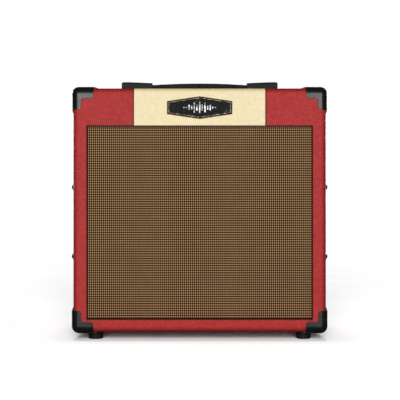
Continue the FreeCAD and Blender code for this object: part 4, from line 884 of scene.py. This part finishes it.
def make_spider(material):
    """The corrugated disc that centres the voice coil."""
    low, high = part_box("speaker_spider")
    inner, outer, rim = 13.6 * MM, 44.4 * MM, 54 * MM
    skin = 0.6 * MM
    waves, steps = 7, 8
    depth = 0.7 * MM
    middle = low.y + depth

    def line(offset):
        points = []
        for i in range(waves * steps + 1):
            share = i / (waves * steps)
            y = middle - depth * math.cos(math.pi * waves * share)
            points.append((inner + (outer - inner) * share, y + offset))
        return points

    profile = line(0) + [(rim, high.y - skin), (rim, high.y)] + line(skin)[::-1]
    moving_ring("spider", profile, material, "speaker_spider")


def make_pointers():
    """A white line let into the groove of each knob."""
    p = Paint("pointer_white")
    p.coat(
        Base_Color=p.mix(p.noise(900, 2), (0.8, 0.79, 0.75), (0.62, 0.61, 0.58)),
        Roughness=p.step(p.noise(400), 0.3, 0.7, 0.35, 0.5),
    )
    half, depth = 0.42 * MM, 0.7 * MM
    for name in nodes:
        if not name.endswith("_knob"):
            continue
        low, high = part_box(name)
        x, y = (low.x + high.x) / 2, (low.y + high.y) / 2
        near, far = y + 2.6 * MM, y + 7.0 * MM
        top = high.z - 0.25 * MM
        outline = []
        for end, start_angle in ((far, 0), (near, 180)):
            for i in range(7):
                angle = math.radians(start_angle + 30 * i)
                outline.append((x + half * math.cos(angle), end + half * math.sin(angle)))
        vertices, faces = prism(outline, top - depth, top)
        pointer = mesh_object(name.replace("_knob", "_pointer"), vertices, faces, p.material, False)
        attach(pointer, name)


TICKS = 11
TICK_SWEEP = 150


def make_panel_print():
    """Printed scale marks round the knobs."""
    p = Paint("panel_print")
    p.coat(
        Base_Color=p.mix(p.noise(1300, 2), (0.78, 0.77, 0.72), (0.6, 0.59, 0.55)),
        Roughness=p.step(p.noise(500), 0.3, 0.7, 0.45, 0.6),
    )
    low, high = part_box("control_panel")
    z = high.z + 0.06 * MM
    foot = high.z - 0.2 * MM
    vertices, faces = [], []
    for name in nodes:
        if not name.endswith("_knob"):
            continue
        a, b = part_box(name)
        centre = Vector(((a.x + b.x) / 2, (a.y + b.y) / 2))
        for i in range(TICKS):
            angle = math.radians(90 + TICK_SWEEP - 2 * TICK_SWEEP * i / (TICKS - 1))
            way = Vector((math.cos(angle), math.sin(angle)))
            side = Vector((-way.y, way.x)) * 0.22 * MM
            near, far = centre + way * 9.8 * MM, centre + way * (11.6 if i % 5 == 0 else 11.0) * MM
            corners, sides = prism([near - side, far - side, far + side, near + side], foot, z)
            faces += [[len(vertices) + k for k in face] for face in sides]
            vertices += corners
    piece = mesh_object("panel_print", vertices, faces, p.material, False)
    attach(piece, "cabinet")


make_camera()
make_world()
lights = make_lights()
materials = make_materials()
make_floor(lights)
make_grille_cloth(materials["grille_cloth"])
make_strap(materials["strap_grip"])
make_surround(materials["speaker_surround"])
make_spider(materials["speaker_spider"])
make_pointers()
make_panel_print()
